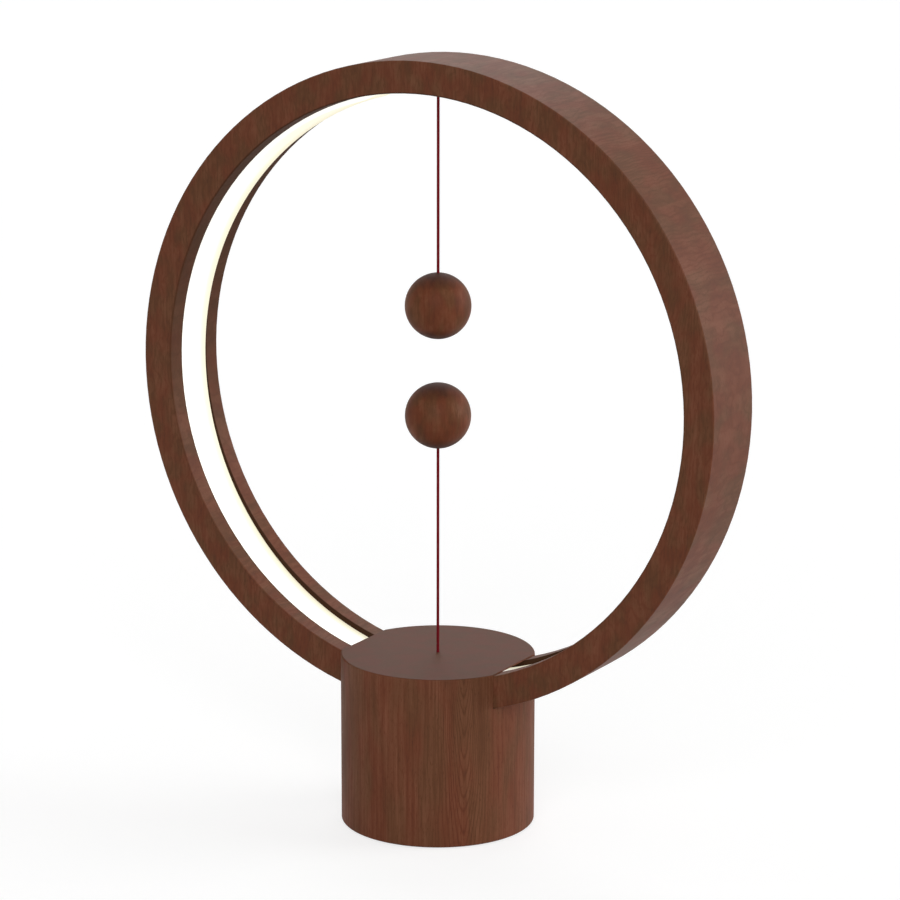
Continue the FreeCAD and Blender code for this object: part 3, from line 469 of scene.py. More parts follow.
        clear = add(tree, "ShaderNodeMapRange", {
            "Value": away, "From Min": self.arch_reach_mm / 2 * MM, "From Max": self.arch_reach_mm * MM,
            "To Min": 1.0, "To Max": self.side_rings})
        return add(tree, "ShaderNodeMath", {0: edge.outputs["Color"], 1: clear.outputs["Result"]},
                   operation="MULTIPLY").outputs["Value"]


# ---------------------------------------------------------------- plastics and rubber
@dataclass(frozen=True)
class OpalAcrylic(Finish):
    """Extruded opal acrylic, lit from behind.

    It glows white over the row of lights. Towards the rear edge and round the top a dimmer cream glow is
    painted in as light; the front edge stays white.
    """

    name: str = "lit_opal_acrylic"
    body: str = "#9A9686"
    core: str = "#FBFAF6"
    cream: str = "#D9D3BA"
    rear_mm: tuple[float, float] = (1.0, 10.0)     # the cream's start and full strength behind the middle
    top_mm: tuple[float, float] = (300.0, 365.0)   # and over the floor
    at_top: float = 0.8                            # how much of it the top has,
    front_mm: tuple[float, float] = (-11.1, -9.5)  # behind the front edge, which stays white
    glow: float = 1.0
    haze_mm: float = 0.8                           # size of the clear and dull spots of its satin face
    roughness: tuple[float, float] = (0.40, 0.52)
    ior: float = 1.49

    def shader(self, tree: bpy.types.NodeTree) -> bpy.types.Node:
        """Builds the glow across the strip and its satin face.

        Args:
            tree: The material's node tree.

        Returns:
            The surface shader node.
        """
        place = add(tree, "ShaderNodeTexCoord").outputs["Object"]
        parts = add(tree, "ShaderNodeSeparateXYZ", {"Vector": place})
        # painted light: the glow turns a dimmer cream towards the rear edge and over the top
        rear, top, face = (add(tree, "ShaderNodeMapRange", {
            "Value": parts.outputs[axis], "From Min": start * MM, "From Max": full * MM, "To Max": most},
            interpolation_type="SMOOTHSTEP").outputs["Result"]
            for axis, (start, full), most in (("Y", self.rear_mm, 1.0), ("Z", self.top_mm, self.at_top),
                                              ("Y", self.front_mm, 1.0)))
        over = add(tree, "ShaderNodeMath", {0: top, 1: face}, operation="MULTIPLY").outputs["Value"]
        creamy = add(tree, "ShaderNodeMath", {0: rear, 1: over}, operation="MAXIMUM").outputs["Value"]
        colour = add(tree, "ShaderNodeValToRGB", {"Fac": creamy}, [(0.0, self.core), (1.0, self.cream)])
        haze = add(tree, "ShaderNodeTexNoise", {"Vector": place,
                                                "Scale": per_metre(self.haze_mm)[0]}).outputs["Fac"]
        rough = add(tree, "ShaderNodeMapRange", {"Value": haze, "To Min": self.roughness[0],
                                                 "To Max": self.roughness[1]})
        return add(tree, "ShaderNodeBsdfPrincipled", {
            "Base Color": linear(self.body), "Roughness": rough.outputs["Result"], "IOR": self.ior,
            "Emission Color": colour.outputs["Color"], "Emission Strength": self.glow})


@dataclass(frozen=True)
class MouldedPlastic(FineTexture):
    """Injection-moulded plastic with a fine spark-eroded texture: an even matt with a soft edge of light."""

    roughness: float = 0.45
    grit_mm: float = 0.25      # real grit is finer; drawn as coarse as shows
    ior: float = 1.53

    def pattern(self, tree: bpy.types.NodeTree, place: bpy.types.NodeSocket) -> bpy.types.NodeSocket:
        """The grit of the mould's wall."""
        return add(tree, "ShaderNodeTexNoise", {"Vector": place, "Scale": per_metre(self.grit_mm)[0],
                                                "Detail": 2.0}).outputs["Fac"]

    def sockets(self) -> dict[str, float]:
        """The plastic's refractive index."""
        return {"IOR": self.ior}


@dataclass(frozen=True)
class ClearNylon(Finish):
    """Clear moulded nylon: milky, with a soft sheen."""

    name: str = "moulded_clear_nylon"
    colour: str = "#F3F2EC"
    cloud_mm: float = 1.0
    roughness: tuple[float, float] = (0.22, 0.36)
    clearness: float = 0.35
    ior: float = 1.53

    def shader(self, tree: bpy.types.NodeTree) -> bpy.types.Node:
        """Builds a faint cloudiness in a clear body.

        Args:
            tree: The material's node tree.

        Returns:
            The surface shader node.
        """
        place = add(tree, "ShaderNodeTexCoord").outputs["Object"]
        cloud = add(tree, "ShaderNodeTexNoise", {"Vector": place,
                                                 "Scale": per_metre(self.cloud_mm)[0]}).outputs["Fac"]
        rough = add(tree, "ShaderNodeMapRange", {"Value": cloud, "To Min": self.roughness[0],
                                                 "To Max": self.roughness[1]})
        return add(tree, "ShaderNodeBsdfPrincipled", {
            "Base Color": linear(self.colour), "Roughness": rough.outputs["Result"], "IOR": self.ior,
            "Transmission Weight": self.clearness})


# ---------------------------------------------------------------- cord
@dataclass(frozen=True)
class BraidedCord(Finish):
    """Cotton cord braided from eight flat yarns, dyed dark red.

    Four yarns wind one way and four the other, over and under each other. Their crowns are a dull red, and
    the gaps between them are painted nearly black as shade.
    """

    name: str = "braided_cotton_cord"
    crown: str = "#78161F"
    # painted shade: the colour between the yarns
    gap_shade: str = "#38090D"
    yarns: int = 4             # that wind the same way
    lay_mm: float = 6.0        # length of one turn of a yarn
    fibre_mm: float = 0.12     # cotton fibres are finer; drawn as coarse as shows
    fuzz: float = 0.25         # how much of the relief the fibres make up
    tones: tuple[float, float] = (0.22, 0.46)      # heights of the gaps and the crowns
    relief: float = 0.5
    relief_mm: float = 0.05    # of the fine relief on each yarn
    roughness: float = 0.8
    ior: float = 1.5
    specular: float = 0.05

    def shader(self, tree: bpy.types.NodeTree) -> bpy.types.Node:
        """Builds the yarns as two opposite spirals about the cord's own line.

        Args:
            tree: The material's node tree.

        Returns:
            The surface shader node.
        """
        place = add(tree, "ShaderNodeTexCoord").outputs["Object"]
        parts = add(tree, "ShaderNodeSeparateXYZ", {"Vector": place})
        angle = add(tree, "ShaderNodeMath", {0: parts.outputs["Y"], 1: parts.outputs["X"]},
                    operation="ARCTAN2").outputs["Value"]
        turned = add(tree, "ShaderNodeMath", {0: angle, 1: self.yarns / math.tau},
                     operation="MULTIPLY").outputs["Value"]
        ribs = []
        for hand in (1, -1):
            spiral = add(tree, "ShaderNodeMath", {0: parts.outputs["Z"], 2: turned,
                                                  1: -hand * self.yarns * per_metre(self.lay_mm)[0]},
                         operation="MULTIPLY_ADD").outputs["Value"]
            ribs.append(add(tree, "ShaderNodeMath", {0: spiral, 1: 0.5},
                            operation="PINGPONG").outputs["Value"])
        over = add(tree, "ShaderNodeMath", {0: ribs[0], 1: ribs[1]}, operation="MAXIMUM").outputs["Value"]
        fibre = add(tree, "ShaderNodeTexNoise", {"Vector": place, "Scale": per_metre(self.fibre_mm)[0],
                                                 "Detail": 2.0}).outputs["Fac"]
        height = add(tree, "ShaderNodeMath", {0: fibre, 1: self.fuzz, 2: over},
                     operation="MULTIPLY_ADD").outputs["Value"]
        # painted shade: the low parts of the height pattern, between the yarns, take the near black gap colour
        colour = add(tree, "ShaderNodeValToRGB", {"Fac": height},
                     list(zip(self.tones, (self.gap_shade, self.crown))))
        bump = add(tree, "ShaderNodeBump", {"Strength": self.relief, "Distance": self.relief_mm * MM,
                                            "Height": height})
        return add(tree, "ShaderNodeBsdfPrincipled", {
            "Base Color": colour.outputs["Color"], "Roughness": self.roughness, "IOR": self.ior,
            "Specular IOR Level": self.specular, "Normal": bump.outputs["Normal"]})


# ---------------------------------------------------------------- metals
class Tooling(Enum):
    """How a metal part's surface was made."""

    TURNED = "rings about Z"
    DRAWN = "lines along Z"
    PLATED = "fine orange peel"


@dataclass(frozen=True)
class Metal(FineTexture):
    """Bare or plated metal, with the marks that its making left."""

    spread: tuple[float, float] = (-0.08, 0.1)
    tone: tuple[float, float] = (0.9, 1.06)
    relief: float = 0.25
    tooling: Tooling = Tooling.PLATED
    mark_mm: float = 0.3
    drawn_out: float = 0.03    # how much finer drawn lines are across than along
    waver: float = 0.6         # how far turned rings stray,
    waver_scale: float = 0.4   # and how coarsely

    def sockets(self) -> dict[str, float]:
        """Says that it is metal."""
        return {"Metallic": 1.0}

    def pattern(self, tree: bpy.types.NodeTree, place: bpy.types.NodeSocket) -> bpy.types.NodeSocket:
        """Builds the tool marks.

        Args:
            tree: The node tree.
            place: The coordinates.

        Returns:
            The marks, from 0 to 1.
        """
        scale = per_metre(self.mark_mm)[0]
        if self.tooling is Tooling.TURNED:
            return add(tree, "ShaderNodeTexWave", {
                "Vector": place, "Scale": scale / math.tau, "Distortion": self.waver, "Detail": 2.0,
                "Detail Scale": self.waver_scale}, wave_type="RINGS", rings_direction="Z").outputs["Fac"]
        stretch = (1.0, 1.0, self.drawn_out if self.tooling is Tooling.DRAWN else 1.0)
        scaled = add(tree, "ShaderNodeMapping", {"Vector": place, "Scale": stretch})
        return add(tree, "ShaderNodeTexNoise", {"Vector": scaled.outputs["Vector"], "Scale": scale,
                                                "Detail": 2.0}).outputs["Fac"]


# ---------------------------------------------------------------- circuits
@dataclass(frozen=True)
class CircuitBoard(Finish):
    """Glass-fibre board under solder mask: the copper runs show through as lighter lines."""

    mask: str = "#0F4A2A"
    copper: str = "#2E7A45"
    run_mm: float = 1.9
    unevenness: float = 0.7                        # of the copper areas
    run_edge: tuple[float, float] = (0.36, 0.40)   # share of an area where its copper ends
    relief: float = 0.4
    relief_mm: float = 0.03                        # height of the copper under the mask
    roughness: float = 0.3
    ior: float = 1.55

    def shader(self, tree: bpy.types.NodeTree) -> bpy.types.Node:
        """Builds straight-edged copper areas under the mask.

        Args:
            tree: The material's node tree.

        Returns:
            The surface shader node.
        """
        place = add(tree, "ShaderNodeTexCoord").outputs["Object"]
        cells = add(tree, "ShaderNodeTexVoronoi", {"Vector": place, "Scale": per_metre(self.run_mm)[0],
                                                   "Randomness": self.unevenness}, distance="CHEBYCHEV",
                    feature="F1").outputs["Distance"]
        edge = add(tree, "ShaderNodeMapRange", {"Value": cells, "From Min": self.run_edge[0],
                                                "From Max": self.run_edge[1]})
        colour = add(tree, "ShaderNodeValToRGB", {"Fac": edge.outputs["Result"]},
                     [(0.0, self.copper), (1.0, self.mask)])
        bump = add(tree, "ShaderNodeBump", {"Strength": self.relief, "Distance": self.relief_mm * MM,
                                            "Height": edge.outputs["Result"]})
        return add(tree, "ShaderNodeBsdfPrincipled", {
            "Base Color": colour.outputs["Color"], "Roughness": self.roughness, "IOR": self.ior,
            "Normal": bump.outputs["Normal"]})


# ---------------------------------------------------------------- the finishes by slot
# slot_mm turns on the hoop's painted shade in the light slot and on its inner face
HOOP_BEECH = StainedBeech("hoop_beech", heart_mm=131.0, ring_mm=3.6, arch_slope=-0.35, arch_reach_mm=40.0,
                          arch_tip_mm=6.0, wander_mm=4.0, streak_mm=(1.1, 30.0, 26.0),
                          patch_mm=(9.0, 24.0, 16.0), streaks=0.24, patches=0.36, rings=0.07, end_grain=0.0,
                          end_dark=0.0, slot_mm=11.2, red="#60311B", olive="#58341C", roughness=0.58,
                          specular=0.20)
BASE_BEECH = StainedBeech("base_beech", turn_deg=(0.0, 0.0, -45.5), ring_mm=2.7, wander_mm=2.0,
                          streak_mm=(0.8, 0.8, 50.0), streaks=0.42, rings=0.16, side_rings=0.4,
                          end_dark=0.17, end_gloss=0.06)
# end_dark is strong here: the balls' end grain, at top and bottom, takes the stain darker, and this also
# paints shade on the ball's top and bottom
BALL_BEECH = StainedBeech("ball_beech", turn_deg=(0.0, 0.0, -40.0), heart_mm=7.0, ring_mm=3.0,
                          streak_mm=(1.8, 4.0, 22.0), patch_mm=(6.0, 9.0, 14.0), streaks=0.30, patches=0.50,
                          rings=0.07, pores=0.05, end_grain=0.3, end_dark=0.48,
                          roughness=0.56, specular=0.12)
CORD = BraidedCord()
OPAL = OpalAcrylic()
RUBBER = MouldedPlastic("cellular_rubber", colour="#222222", grit_mm=0.5, roughness=0.8, ior=1.52)
FINISHES: dict[str, Finish] = {
    "stained_wood": BASE_BEECH,
    "opal_acrylic": OPAL,
    "clear_nylon": ClearNylon(),
    "red_cord": CORD,
    "white_circuit": CircuitBoard("white_flex_circuit", mask="#E9E9E4", copper="#D3CFC0", run_mm=2.4),
    "green_circuit": CircuitBoard("green_fibre_board"),
    "led_package": MouldedPlastic("phosphor_gel", colour="#F2D873", grit_mm=0.1, roughness=0.35, ior=1.41),
    "lead_insulation": MouldedPlastic("soft_vinyl_lead", colour="#DAD5C8", roughness=0.38, ior=1.54),
    "foot_rubber": RUBBER,
    "black_plastic": MouldedPlastic("black_abs", colour="#1B1C1E"),
    "white_plastic": MouldedPlastic("white_acetal", colour="#E6E4DC", roughness=0.32, ior=1.48),
    "component_black": MouldedPlastic("epoxy_package", colour="#17181A", roughness=0.55, ior=1.56),
    "painted_steel": MouldedPlastic("powder_coated_steel", colour="#26272A", grit_mm=0.6, roughness=0.5),
    "brass": Metal("turned_brass", colour="#C9A35A", tooling=Tooling.TURNED, roughness=0.28),
    "zinc_screw": Metal("zinc_plated_steel", colour="#B9BDC0", roughness=0.34),
    "raw_steel": Metal("turned_mild_steel", colour="#8E8F90", tooling=Tooling.TURNED, roughness=0.36),
    "contact_metal": Metal("phosphor_bronze", colour="#C58F5C", tooling=Tooling.DRAWN, roughness=0.3),
    "spring_steel": Metal("drawn_spring_steel", colour="#9FA1A4", tooling=Tooling.DRAWN, roughness=0.25),
    "socket_steel": Metal("nickel_plated_strip", colour="#C4C4C0", tooling=Tooling.DRAWN, roughness=0.24),
    "nickel_magnet": Metal("nickel_plated_magnet", colour="#C9C7C0", roughness=0.18),
}


def dress(frame: dict[str, Any], nodes: list[str], own: dict[str, Finish] | None = None) -> None:
    """Gives CAD nodes their finish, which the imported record's slot names for each.

    Args:
        nodes: The nodes' names.
        own: Nodes with a cut of their own of the slot's finish.
    """
    slots = {part["node"]: part["material_slot"] for part in frame["record"]["subparts"]}
    for name in nodes:
        material = (own or {}).get(name, FINISHES[slots[name]]).material()
        mesh = frame["nodes"][name].data
        if not mesh.materials:
            mesh.materials.append(material)
        for index in range(len(mesh.materials)):
            mesh.materials[index] = material
        LOG.info("dressed %s in %s", name, material.name)


# ---------------------------------------------------------------- the lamp's sub-assemblies
@dataclass
class SubAssembly:
    """Pieces that belong together."""

    nodes: list[str] = field(default_factory=list)

    def build(self, frame: dict[str, Any]) -> None:
        """Dresses the pieces.
        """
        dress(frame, self.nodes)


class Side(Enum):
    """Which of the two balls."""

    UPPER = "upper"
    LOWER = "lower"


class Lay(Enum):
    """How a cord is held."""

    HANGING = "hanging"
    TAUT = "taut"


@dataclass
class FreeCord:
    """A braided cord, straight under tension between a fixed point and a ball."""

    name: str
    node: str
    body: str
    route_mm: tuple[float, ...]                    # heights of the route's points, from the exit on
    lay: Lay
    finish: BraidedCord = CORD
    diameter_mm: float = 1.5
    yarn_mm: tuple[float, float] = (0.32, 0.92)    # a yarn's thickness and width
    weave_mm: float = 0.02                         # how far it goes out and in
    route_steps: int = 8
    steps_per_crossing: int = 3
    sides: int = 6                                 # of a yarn
    core_sides: int = 12

    def build(self) -> bpy.types.Object:
        """Returns:
            The cord's object.
        """
        route = self.route()
        shape = bmesh.new()
        for yarn in range(self.finish.yarns):
            for hand in (1, -1):
                skin(shape, self.yarn(route[0], route[-1], yarn, hand), closed=False)
        skin(shape, self.core(route[0], route[-1]), closed=False)
        cord = piece(self.name, shape, self.finish.material())
        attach(cord, self.body)
        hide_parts(self.node)
        LOG.info("cord %s from %.2f to %.2f mm", self.name, self.route_mm[0], self.route_mm[-1])
        return cord

    def route(self) -> list[Vector]:
        """Draws the cord's line as one spline and reads its points.

        Returns:
            Points along the line, in metres.
        """
        curve = bpy.data.curves.new(f"{self.name}_route", "CURVE")
        curve.dimensions = "3D"
        curve.resolution_u = self.route_steps
        spline = curve.splines.new("NURBS")
        spline.points.add(len(self.route_mm) - 1)
        for point, height in zip(spline.points, self.route_mm):
            point.co = (0.0, 0.0, height * MM, 1.0)
        spline.order_u = 3
        spline.use_endpoint_u = True
        drawn = bpy.data.objects.new(curve.name, curve)
        line = bpy.data.meshes.new_from_object(drawn)
        points = [vertex.co.copy() for vertex in line.vertices]
        bpy.data.objects.remove(drawn)
        bpy.data.curves.remove(curve)
        bpy.data.meshes.remove(line)
        return points

    def yarn(self, start: Vector, end: Vector, which: int, hand: int) -> list[list[Vector]]:
        """Winds one yarn round the cord's line, over and under those of the other hand.

        Args:
            start: Start of the line.
            end: End of the line.
            which: Number of the yarn.
            hand: 1 or -1, the way that it winds.

        Returns:
            Rings of points along the yarn.
        """
        count, lay = self.finish.yarns, self.finish.lay_mm * MM
        thick, wide = (size / 2 * MM for size in self.yarn_mm)
        middle = (self.diameter_mm / 2 - self.weave_mm) * MM - thick
        steps = round((end - start).length / lay * 2 * count * self.steps_per_crossing)
        rings = []
        for step in range(steps + 1):
            place = start.lerp(end, step / steps)
            angle = math.tau * ((which + 0.5) / count + hand * place.z / lay)
            off_axis = middle + hand * self.weave_mm * MM * math.cos(math.tau * count * place.z / lay)
            out = Vector((math.cos(angle), math.sin(angle), 0.0))
            around = Vector((-math.sin(angle), math.cos(angle), 0.0))
            along = (around * hand * off_axis * math.tau + Vector((0.0, 0.0, lay))).normalized()
            aside = along.cross(out)
            turns = (math.tau * side / self.sides for side in range(self.sides))
            rings.append([place + out * (off_axis + math.cos(turn) * thick) + aside * math.sin(turn) * wide
                          for turn in turns])
        return rings

    def core(self, start: Vector, end: Vector) -> list[list[Vector]]:
        """Draws the core that the yarns lie round.

        Args:
            start: Start of the line.
            end: End of the line.

        Returns:
            Its two end rings.
        """
        radius = (self.diameter_mm - self.yarn_mm[0]) / 2 * MM
        turns = [math.tau * side / self.core_sides for side in range(self.core_sides)]
        return [[place + Vector((math.cos(turn), math.sin(turn), 0.0)) * radius for turn in turns]
                for place in (start, end)]


@dataclass
class LightBand:
    """Opal band that closes the light slot.

    Its face is a circle that hangs a little lower than the hoop's, so it stands proud of the slot's lips
    in the upper half and sinks behind them towards the base. A shallow dip at the top clears the cord.
    Where it stands proud its face is dished across, so the upper ball can swing past.
    """

    back_mm: float = 154.9           # radius of its back, on the slot's ledges
    lip_mm: float = 150.5            # radius of the hoop's inner face
    half_width_mm: float = 11.05
    edge_mm: float = 0.3
    sunk_mm: float = 0.05            # how far its face lies behind the lips at the hoop's mid height
    drop_mm: float = 2.6             # how much lower its face's centre is than the hoop's
    proud_mm: float = 2.3            # the most that it stands out of the slot
    ease: float = 3.0                # how sharply it levels off there
    dip_mm: float = 2.4              # how far it lies behind the lips at the cord
    dip_deg: tuple[float, float] = (7.0, 15.0)
    dish: float = 0.85               # depth of the hollow across its face, as a share of how far it is proud
    dish_steps: int = 8
    gap_deg: float = 10.2            # from the bottom to each end, under the lid
    bore_mm: float = 4.5
    drill_mm: float = 12.0           # length of what bores it
    drill_sides: int = 48
    sections: int = 360

    def build(self) -> bpy.types.Object:
        """Sweeps the band round the hoop, bores it for the grommet and puts it in the slot.

        Returns:
            The band's object.
        """
        shape = bmesh.new()
        sweep = 360 - 2 * self.gap_deg
        skin(shape, [self.section(-90 + self.gap_deg + sweep * step / self.sections)
                     for step in range(self.sections + 1)], closed=False)
        band = piece("light_band", shape, OPAL.material())
        self.bore(band)
        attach(band, "stand")
        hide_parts("light_diffuser")
        LOG.info("light band with %d faces", len(band.data.polygons))
        return band

    def face_mm(self, degrees: float) -> float:
        """Radius of the band's face.

        Args:
            degrees: Angle about the hoop's axis, from +X towards the top.

        Returns:
            The radius in millimetres.
        """
        behind = self.sunk_mm - self.drop_mm * math.sin(math.radians(degrees))
        behind = -self.proud_mm + math.log1p(math.exp(self.ease * (behind + self.proud_mm))) / self.ease
        near, far = self.dip_deg
        share = min(1.0, max(0.0, (abs(degrees - 90) - near) / (far - near)))
        share = share * share * (3 - 2 * share)
        return self.lip_mm + self.dip_mm + (behind - self.dip_mm) * share

    def section(self, degrees: float) -> list[Vector]:
        """Outline of the band where it crosses one angle.

        Args:
            degrees: The angle.

        Returns:
            Its corners, in metres.
        """
        wide, face, edge = self.half_width_mm, self.face_mm(degrees), self.edge_mm
        hollow = self.dish * max(0.0, self.lip_mm - face)
        across = [1 - 2 * step / self.dish_steps for step in range(self.dish_steps + 1)]
        outline = [(self.back_mm, -wide), (self.back_mm, wide), (face + edge, wide)]
        outline += [(face + hollow * (1 - share * share), share * (wide - edge)) for share in across]
        outline.append((face + edge, -wide))
        along, up = math.cos(math.radians(degrees)), math.sin(math.radians(degrees))
        return [Vector((radius * along, aside, HOOP_MID_MM + radius * up)) * MM for radius, aside in outline]

    def bore(self, band: bpy.types.Object) -> None:
        """Cuts the grommet's hole at the top.

        Args:
            band: The band.
        """
        shape = bmesh.new()
        radius = self.bore_mm / 2 * MM
        bmesh.ops.create_cone(shape, cap_ends=True, segments=self.drill_sides, radius1=radius, radius2=radius,
                              depth=self.drill_mm * MM)
        bmesh.ops.translate(shape, verts=shape.verts, vec=(0, 0, (HOOP_MID_MM + self.back_mm) * MM))
        drill = piece("drill", shape, OPAL.material())
        cut = band.modifiers.new("bore", "BOOLEAN")
        cut.object, cut.operation, cut.solver = drill, "DIFFERENCE", "EXACT"
        bpy.context.view_layer.update()
        bored = bpy.data.meshes.new_from_object(band.evaluated_get(bpy.context.evaluated_depsgraph_get()))
        band.modifiers.clear()
        band.data = bored
        bpy.data.objects.remove(drill)


@dataclass
class Hoop(SubAssembly):
    """Wooden hoop with its light strip."""

    nodes: list[str] = field(default_factory=lambda: [
        "hoop", "light_diffuser", "light_strip", "light_strip_leds", "light_leads", "diffuser_bush",
        "upper_cord_anchor", "upper_cord_stub"])
    band: LightBand = field(default_factory=LightBand)

    def build(self, frame: dict[str, Any]) -> None:
        """Dresses the hoop and fits its light band.
        """
        dress(frame, self.nodes, {"hoop": HOOP_BEECH})
        self.band.build()


@dataclass
class FootPad:
    """Moulded rubber foot with a rounded rim and raised rings that grip the table."""

    radius_mm: float = 46.4
    thickness_mm: float = 1.5
    groove_mm: float = 0.5           # depth of the grooves
    ring_pitch_mm: float = 5.0
    ring_width_mm: float = 2.6
    slope_mm: float = 0.4            # draft of each groove's sides
    rim_mm: float = 0.5              # rounding of the rim
    rim_corner: float = 0.3          # where the rounding has its middle corner, as a share of it
    land: tuple[float, float] = (3.0, 4.0)   # where the outermost ring and its slope end, in roundings
    segments: int = 128

    def build(self) -> bpy.types.Object:
        """Turns the foot's outline about Z and puts it under the base.

        Returns:
            The foot's object.
        """
        shape = bmesh.new()
        corners = [shape.verts.new((radius * MM, 0.0, height * MM)) for radius, height in self.outline()]
        edges = [shape.edges.new(pair) for pair in zip(corners, corners[1:])]
        bmesh.ops.spin(shape, geom=corners + edges, axis=(0, 0, 1), cent=(0, 0, 0), steps=self.segments,
                       angle=math.tau, use_merge=True)
        bmesh.ops.remove_doubles(shape, verts=shape.verts, dist=0.001 * MM)
        foot = piece("foot_pad_ringed", shape, RUBBER.material())
        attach(foot, "stand")
        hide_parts("foot_pad")
        LOG.info("foot pad with %d faces", len(foot.data.polygons))
        return foot

    def outline(self) -> list[tuple[float, float]]:
        """Half of the foot's section, from the middle of its underside to the middle of its top.

        Returns:
            Radius and height of each corner, in millimetres.
        """
        corners = [(0.0, self.groove_mm)]
        middle = self.ring_pitch_mm
        while middle + self.ring_pitch_mm < self.radius_mm:
            half = self.ring_width_mm / 2
            corners += [(middle - half, self.groove_mm), (middle - half + self.slope_mm, 0.0),
                        (middle + half - self.slope_mm, 0.0), (middle + half, self.groove_mm)]
            middle += self.ring_pitch_mm
        outside, rim = self.radius_mm, self.rim_mm
        flat, slope = self.land
        corners += [(outside - slope * rim, self.groove_mm), (outside - flat * rim, 0.0),
                    (outside - rim, 0.0), (outside - rim * self.rim_corner, rim * self.rim_corner),
                    (outside, rim), (outside, self.thickness_mm), (0.0, self.thickness_mm)]
        return corners


@dataclass
class Base(SubAssembly):
    """Wooden base with its lid, weight and foot."""

    nodes: list[str] = field(default_factory=lambda: [
        "base_shell", "top_cap", "cord_guide", "cap_screws", "hoop_screws", "floor_screws", "weight_screws",
        "foot_pad", "floor_plate", "counterweight"])
    foot: FootPad = field(default_factory=FootPad)

    def build(self, frame: dict[str, Any]) -> None:
        """Dresses the base and fits its foot.
        """
        super().build(frame)
        self.foot.build()


@dataclass
class PullSwitch(SubAssembly):
    """Switch under the web, and the cord that works it."""

    nodes: list[str] = field(default_factory=lambda: [
        "switch_housing", "switch_terminal_plate", "switch_contacts", "switch_screws", "return_spring",
        "switch_plunger", "contact_bridge", "pull_cord", "pull_cord_knot"])


@dataclass
class Circuit(SubAssembly):
    """Driver board and power inlet."""

    nodes: list[str] = field(default_factory=lambda: [
        "board_standoffs", "board_screws", "driver_board", "board_components", "inlet_board", "inlet_bracket",
        "power_inlet", "inlet_core", "header_pins", "header_block"])


@dataclass
class BallOnCord:
    """A wooden ball with its magnet, plug and knot, on its cord."""

    side: Side
    route_mm: tuple[float, ...]
    lay: Lay

    def build(self, frame: dict[str, Any]) -> None:
        """Dresses the ball and lays its cord.
        """
        side = self.side.value
        dress(frame, [f"{side}_{part}" for part in ("ball", "ball_plug", "magnet", "cord", "cord_bend",
                                                    "cord_knot")],
              {f"{side}_ball": BALL_BEECH, f"{side}_ball_plug": BALL_BEECH})
        FreeCord(f"{side}_free_cord", f"{side}_cord", f"{side}_pendulum", self.route_mm, self.lay).build()


# ---------------------------------------------------------------- studio
@dataclass
class SoftLight:
    """A broad, distant and soft light, the same all over the floor."""

    name: str
    from_deg: tuple[float, float]      # where it stands: about Z from the front towards +X, and height
    level: float                       # how bright it makes a white surface that faces it
    spread_deg: float = 40.0
    distance: float = 3.0              # of no effect: the light comes from very far away

    def build(self) -> None:
        """Hangs the light."""
        light = bpy.data.lights.new(self.name, "SUN")
        light.angle = math.radians(self.spread_deg)
        light.energy = self.level * math.pi
        lamp = bpy.data.objects.new(self.name, light)
        around, height = (math.radians(angle) for angle in self.from_deg)
        stand = Vector((math.sin(around) * math.cos(height), -math.cos(around) * math.cos(height),
                        math.sin(height)))
        lamp.location = stand * self.distance
        lamp.rotation_euler = (-stand).to_track_quat("-Z", "Y").to_euler()
        bpy.context.scene.collection.objects.link(lamp)


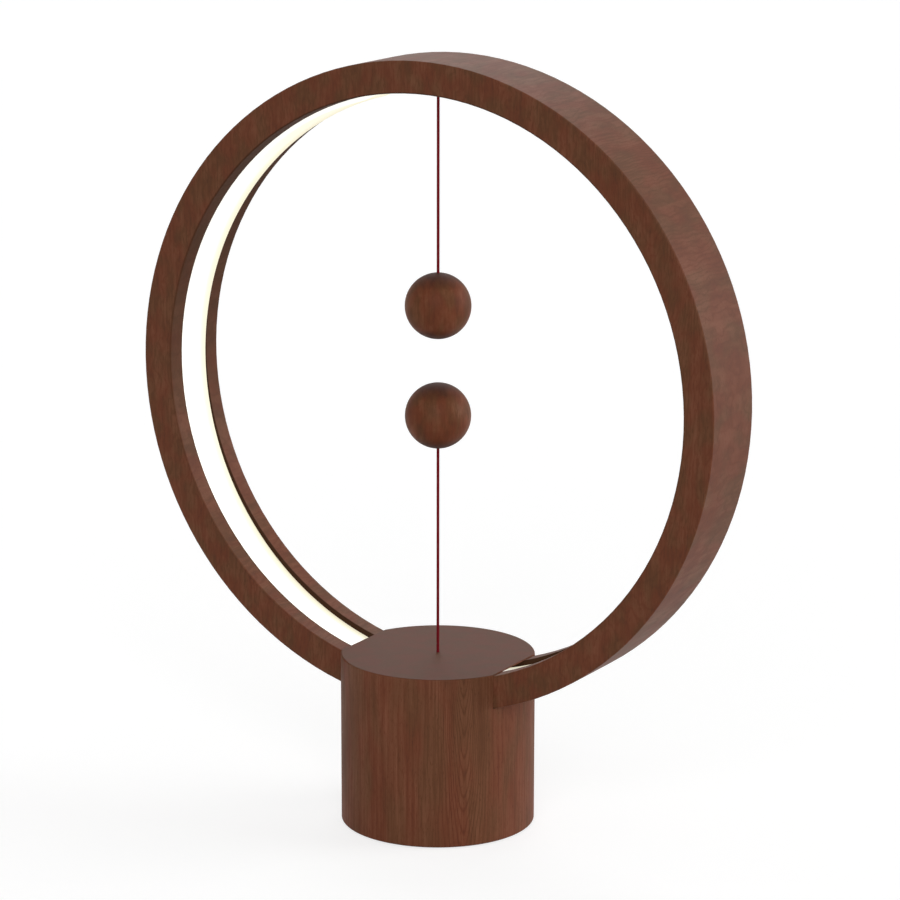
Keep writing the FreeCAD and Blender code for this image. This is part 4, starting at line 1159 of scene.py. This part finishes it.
@dataclass
class Studio:
    """Pale floor, white surroundings and soft light."""

    floor_side: float = 8.0
    floor_colour: str = "#EAEAEA"
    share: float = 0.50                # how much of the floor's look is the white surroundings
    white: float = 1.40                # their level there, so that floor and surroundings add up to white
    dome: float = 0.30                 # strength of the light from all around
    lamps: list[SoftLight] = field(default_factory=lambda: [
        SoftLight("front", (25.0, 28.0), 0.40),
        SoftLight("right", (122.0, 14.0), 0.56),
        SoftLight("back", (205.0, 40.0), 0.19)])

    def build(self) -> None:
        """Makes the floor, the world and the lamps."""
        self.floor()
        self.world()
        for lamp in self.lamps:
            lamp.build()

    def floor(self) -> bpy.types.Object:
        """Makes the floor.

        Returns:
            The floor's object.
        """
        half = self.floor_side / 2
        mesh = bpy.data.meshes.new("floor")
        mesh.from_pydata([(-half, -half, 0), (half, -half, 0), (half, half, 0), (-half, half, 0)], [],
                         [(0, 1, 2, 3)])
        floor = bpy.data.objects.new("floor", mesh)
        bpy.context.scene.collection.objects.link(floor)
        made = bpy.data.materials.new("studio_floor")
        made.use_nodes = True
        tree = made.node_tree
        tree.nodes.clear()
        matt = add(tree, "ShaderNodeBsdfDiffuse", {"Color": linear(self.floor_colour)})
        white = add(tree, "ShaderNodeEmission", {"Color": linear("#FFFFFF"), "Strength": self.white})
        share = add(tree, "ShaderNodeMath", {0: self.sees_backdrop(tree), 1: self.share},
                    operation="MULTIPLY")
        mixed = add(tree, "ShaderNodeMixShader", {0: share.outputs["Value"], 1: matt.outputs["BSDF"],
                                                  2: white.outputs["Emission"]})
        add(tree, "ShaderNodeOutputMaterial", {"Surface": mixed.outputs["Shader"]})
        mesh.materials.append(made)
        return floor

    @staticmethod
    def sees_backdrop(tree: bpy.types.NodeTree) -> bpy.types.NodeSocket:
        """Whether a ray is one that should find the white surroundings.

        Args:
            tree: The node tree.

        Returns:
            1 for camera, glossy and transmission rays, and 0 for others.
        """
        path = add(tree, "ShaderNodeLightPath")
        either = add(tree, "ShaderNodeMath", {0: path.outputs["Is Camera Ray"],
                                              1: path.outputs["Is Glossy Ray"]},
                     operation="MAXIMUM").outputs["Value"]
        return add(tree, "ShaderNodeMath", {0: either, 1: path.outputs["Is Transmission Ray"]},
                   operation="MAXIMUM").outputs["Value"]

    def world(self) -> None:
        """Makes the surroundings: white to look at, softer as light."""
        made = bpy.data.worlds.new("studio_world")
        made.use_nodes = True
        tree = made.node_tree
        tree.nodes.clear()
        strength = add(tree, "ShaderNodeMapRange", {"Value": self.sees_backdrop(tree), "To Min": self.dome,
                                                    "To Max": 1.0})
        white = add(tree, "ShaderNodeBackground", {"Color": linear("#FFFFFF"),
                                                   "Strength": strength.outputs["Result"]})
        add(tree, "ShaderNodeOutputWorld", {"Surface": white.outputs["Background"]})
        bpy.context.scene.world = made


@dataclass
class Viewpoint:
    """Camera in front and to the right of the lamp, looking slightly down."""

    place: tuple[float, float, float] = (0.8881, -1.5107, 0.6108)
    heading_deg: float = 30.249
    pitch_deg: float = -13.255
    roll_deg: float = 0.081
    lens_mm: float = 140.385
    sensor_mm: float = 36.0
    sees_to: float = 30.0

    def build(self) -> None:
        """Makes the camera."""
        data = bpy.data.cameras.new("camera")
        data.lens = self.lens_mm
        data.sensor_width = self.sensor_mm
        data.clip_end = self.sees_to
        camera = bpy.data.objects.new("camera", data)
        turn = Matrix.Rotation(math.radians(self.heading_deg), 4, "Z")
        tip = Matrix.Rotation(math.radians(90 + self.pitch_deg), 4, "X")
        roll = Matrix.Rotation(math.radians(self.roll_deg), 4, "Z")
        camera.matrix_world = Matrix.Translation(Vector(self.place)) @ turn @ tip @ roll
        bpy.context.scene.collection.objects.link(camera)
        bpy.context.scene.camera = camera


def main() -> None:
    """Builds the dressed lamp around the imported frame."""
    logging.basicConfig(level=logging.INFO, format="%(message)s")
    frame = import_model()
    bpy.context.scene.view_settings.view_transform = "Standard"
    Viewpoint().build()
    BallOnCord(Side.UPPER, (385.25, 362.0, 339.0, 316.0, 293.0, 269.99), Lay.HANGING).build(frame)
    BallOnCord(Side.LOWER, (95.2, 120.0, 145.0, 170.0, 195.0, 219.51), Lay.TAUT).build(frame)
    Hoop().build(frame)
    Base().build(frame)
    PullSwitch().build(frame)
    Circuit().build(frame)
    Studio().build()


if __name__ == "__main__":
    main()
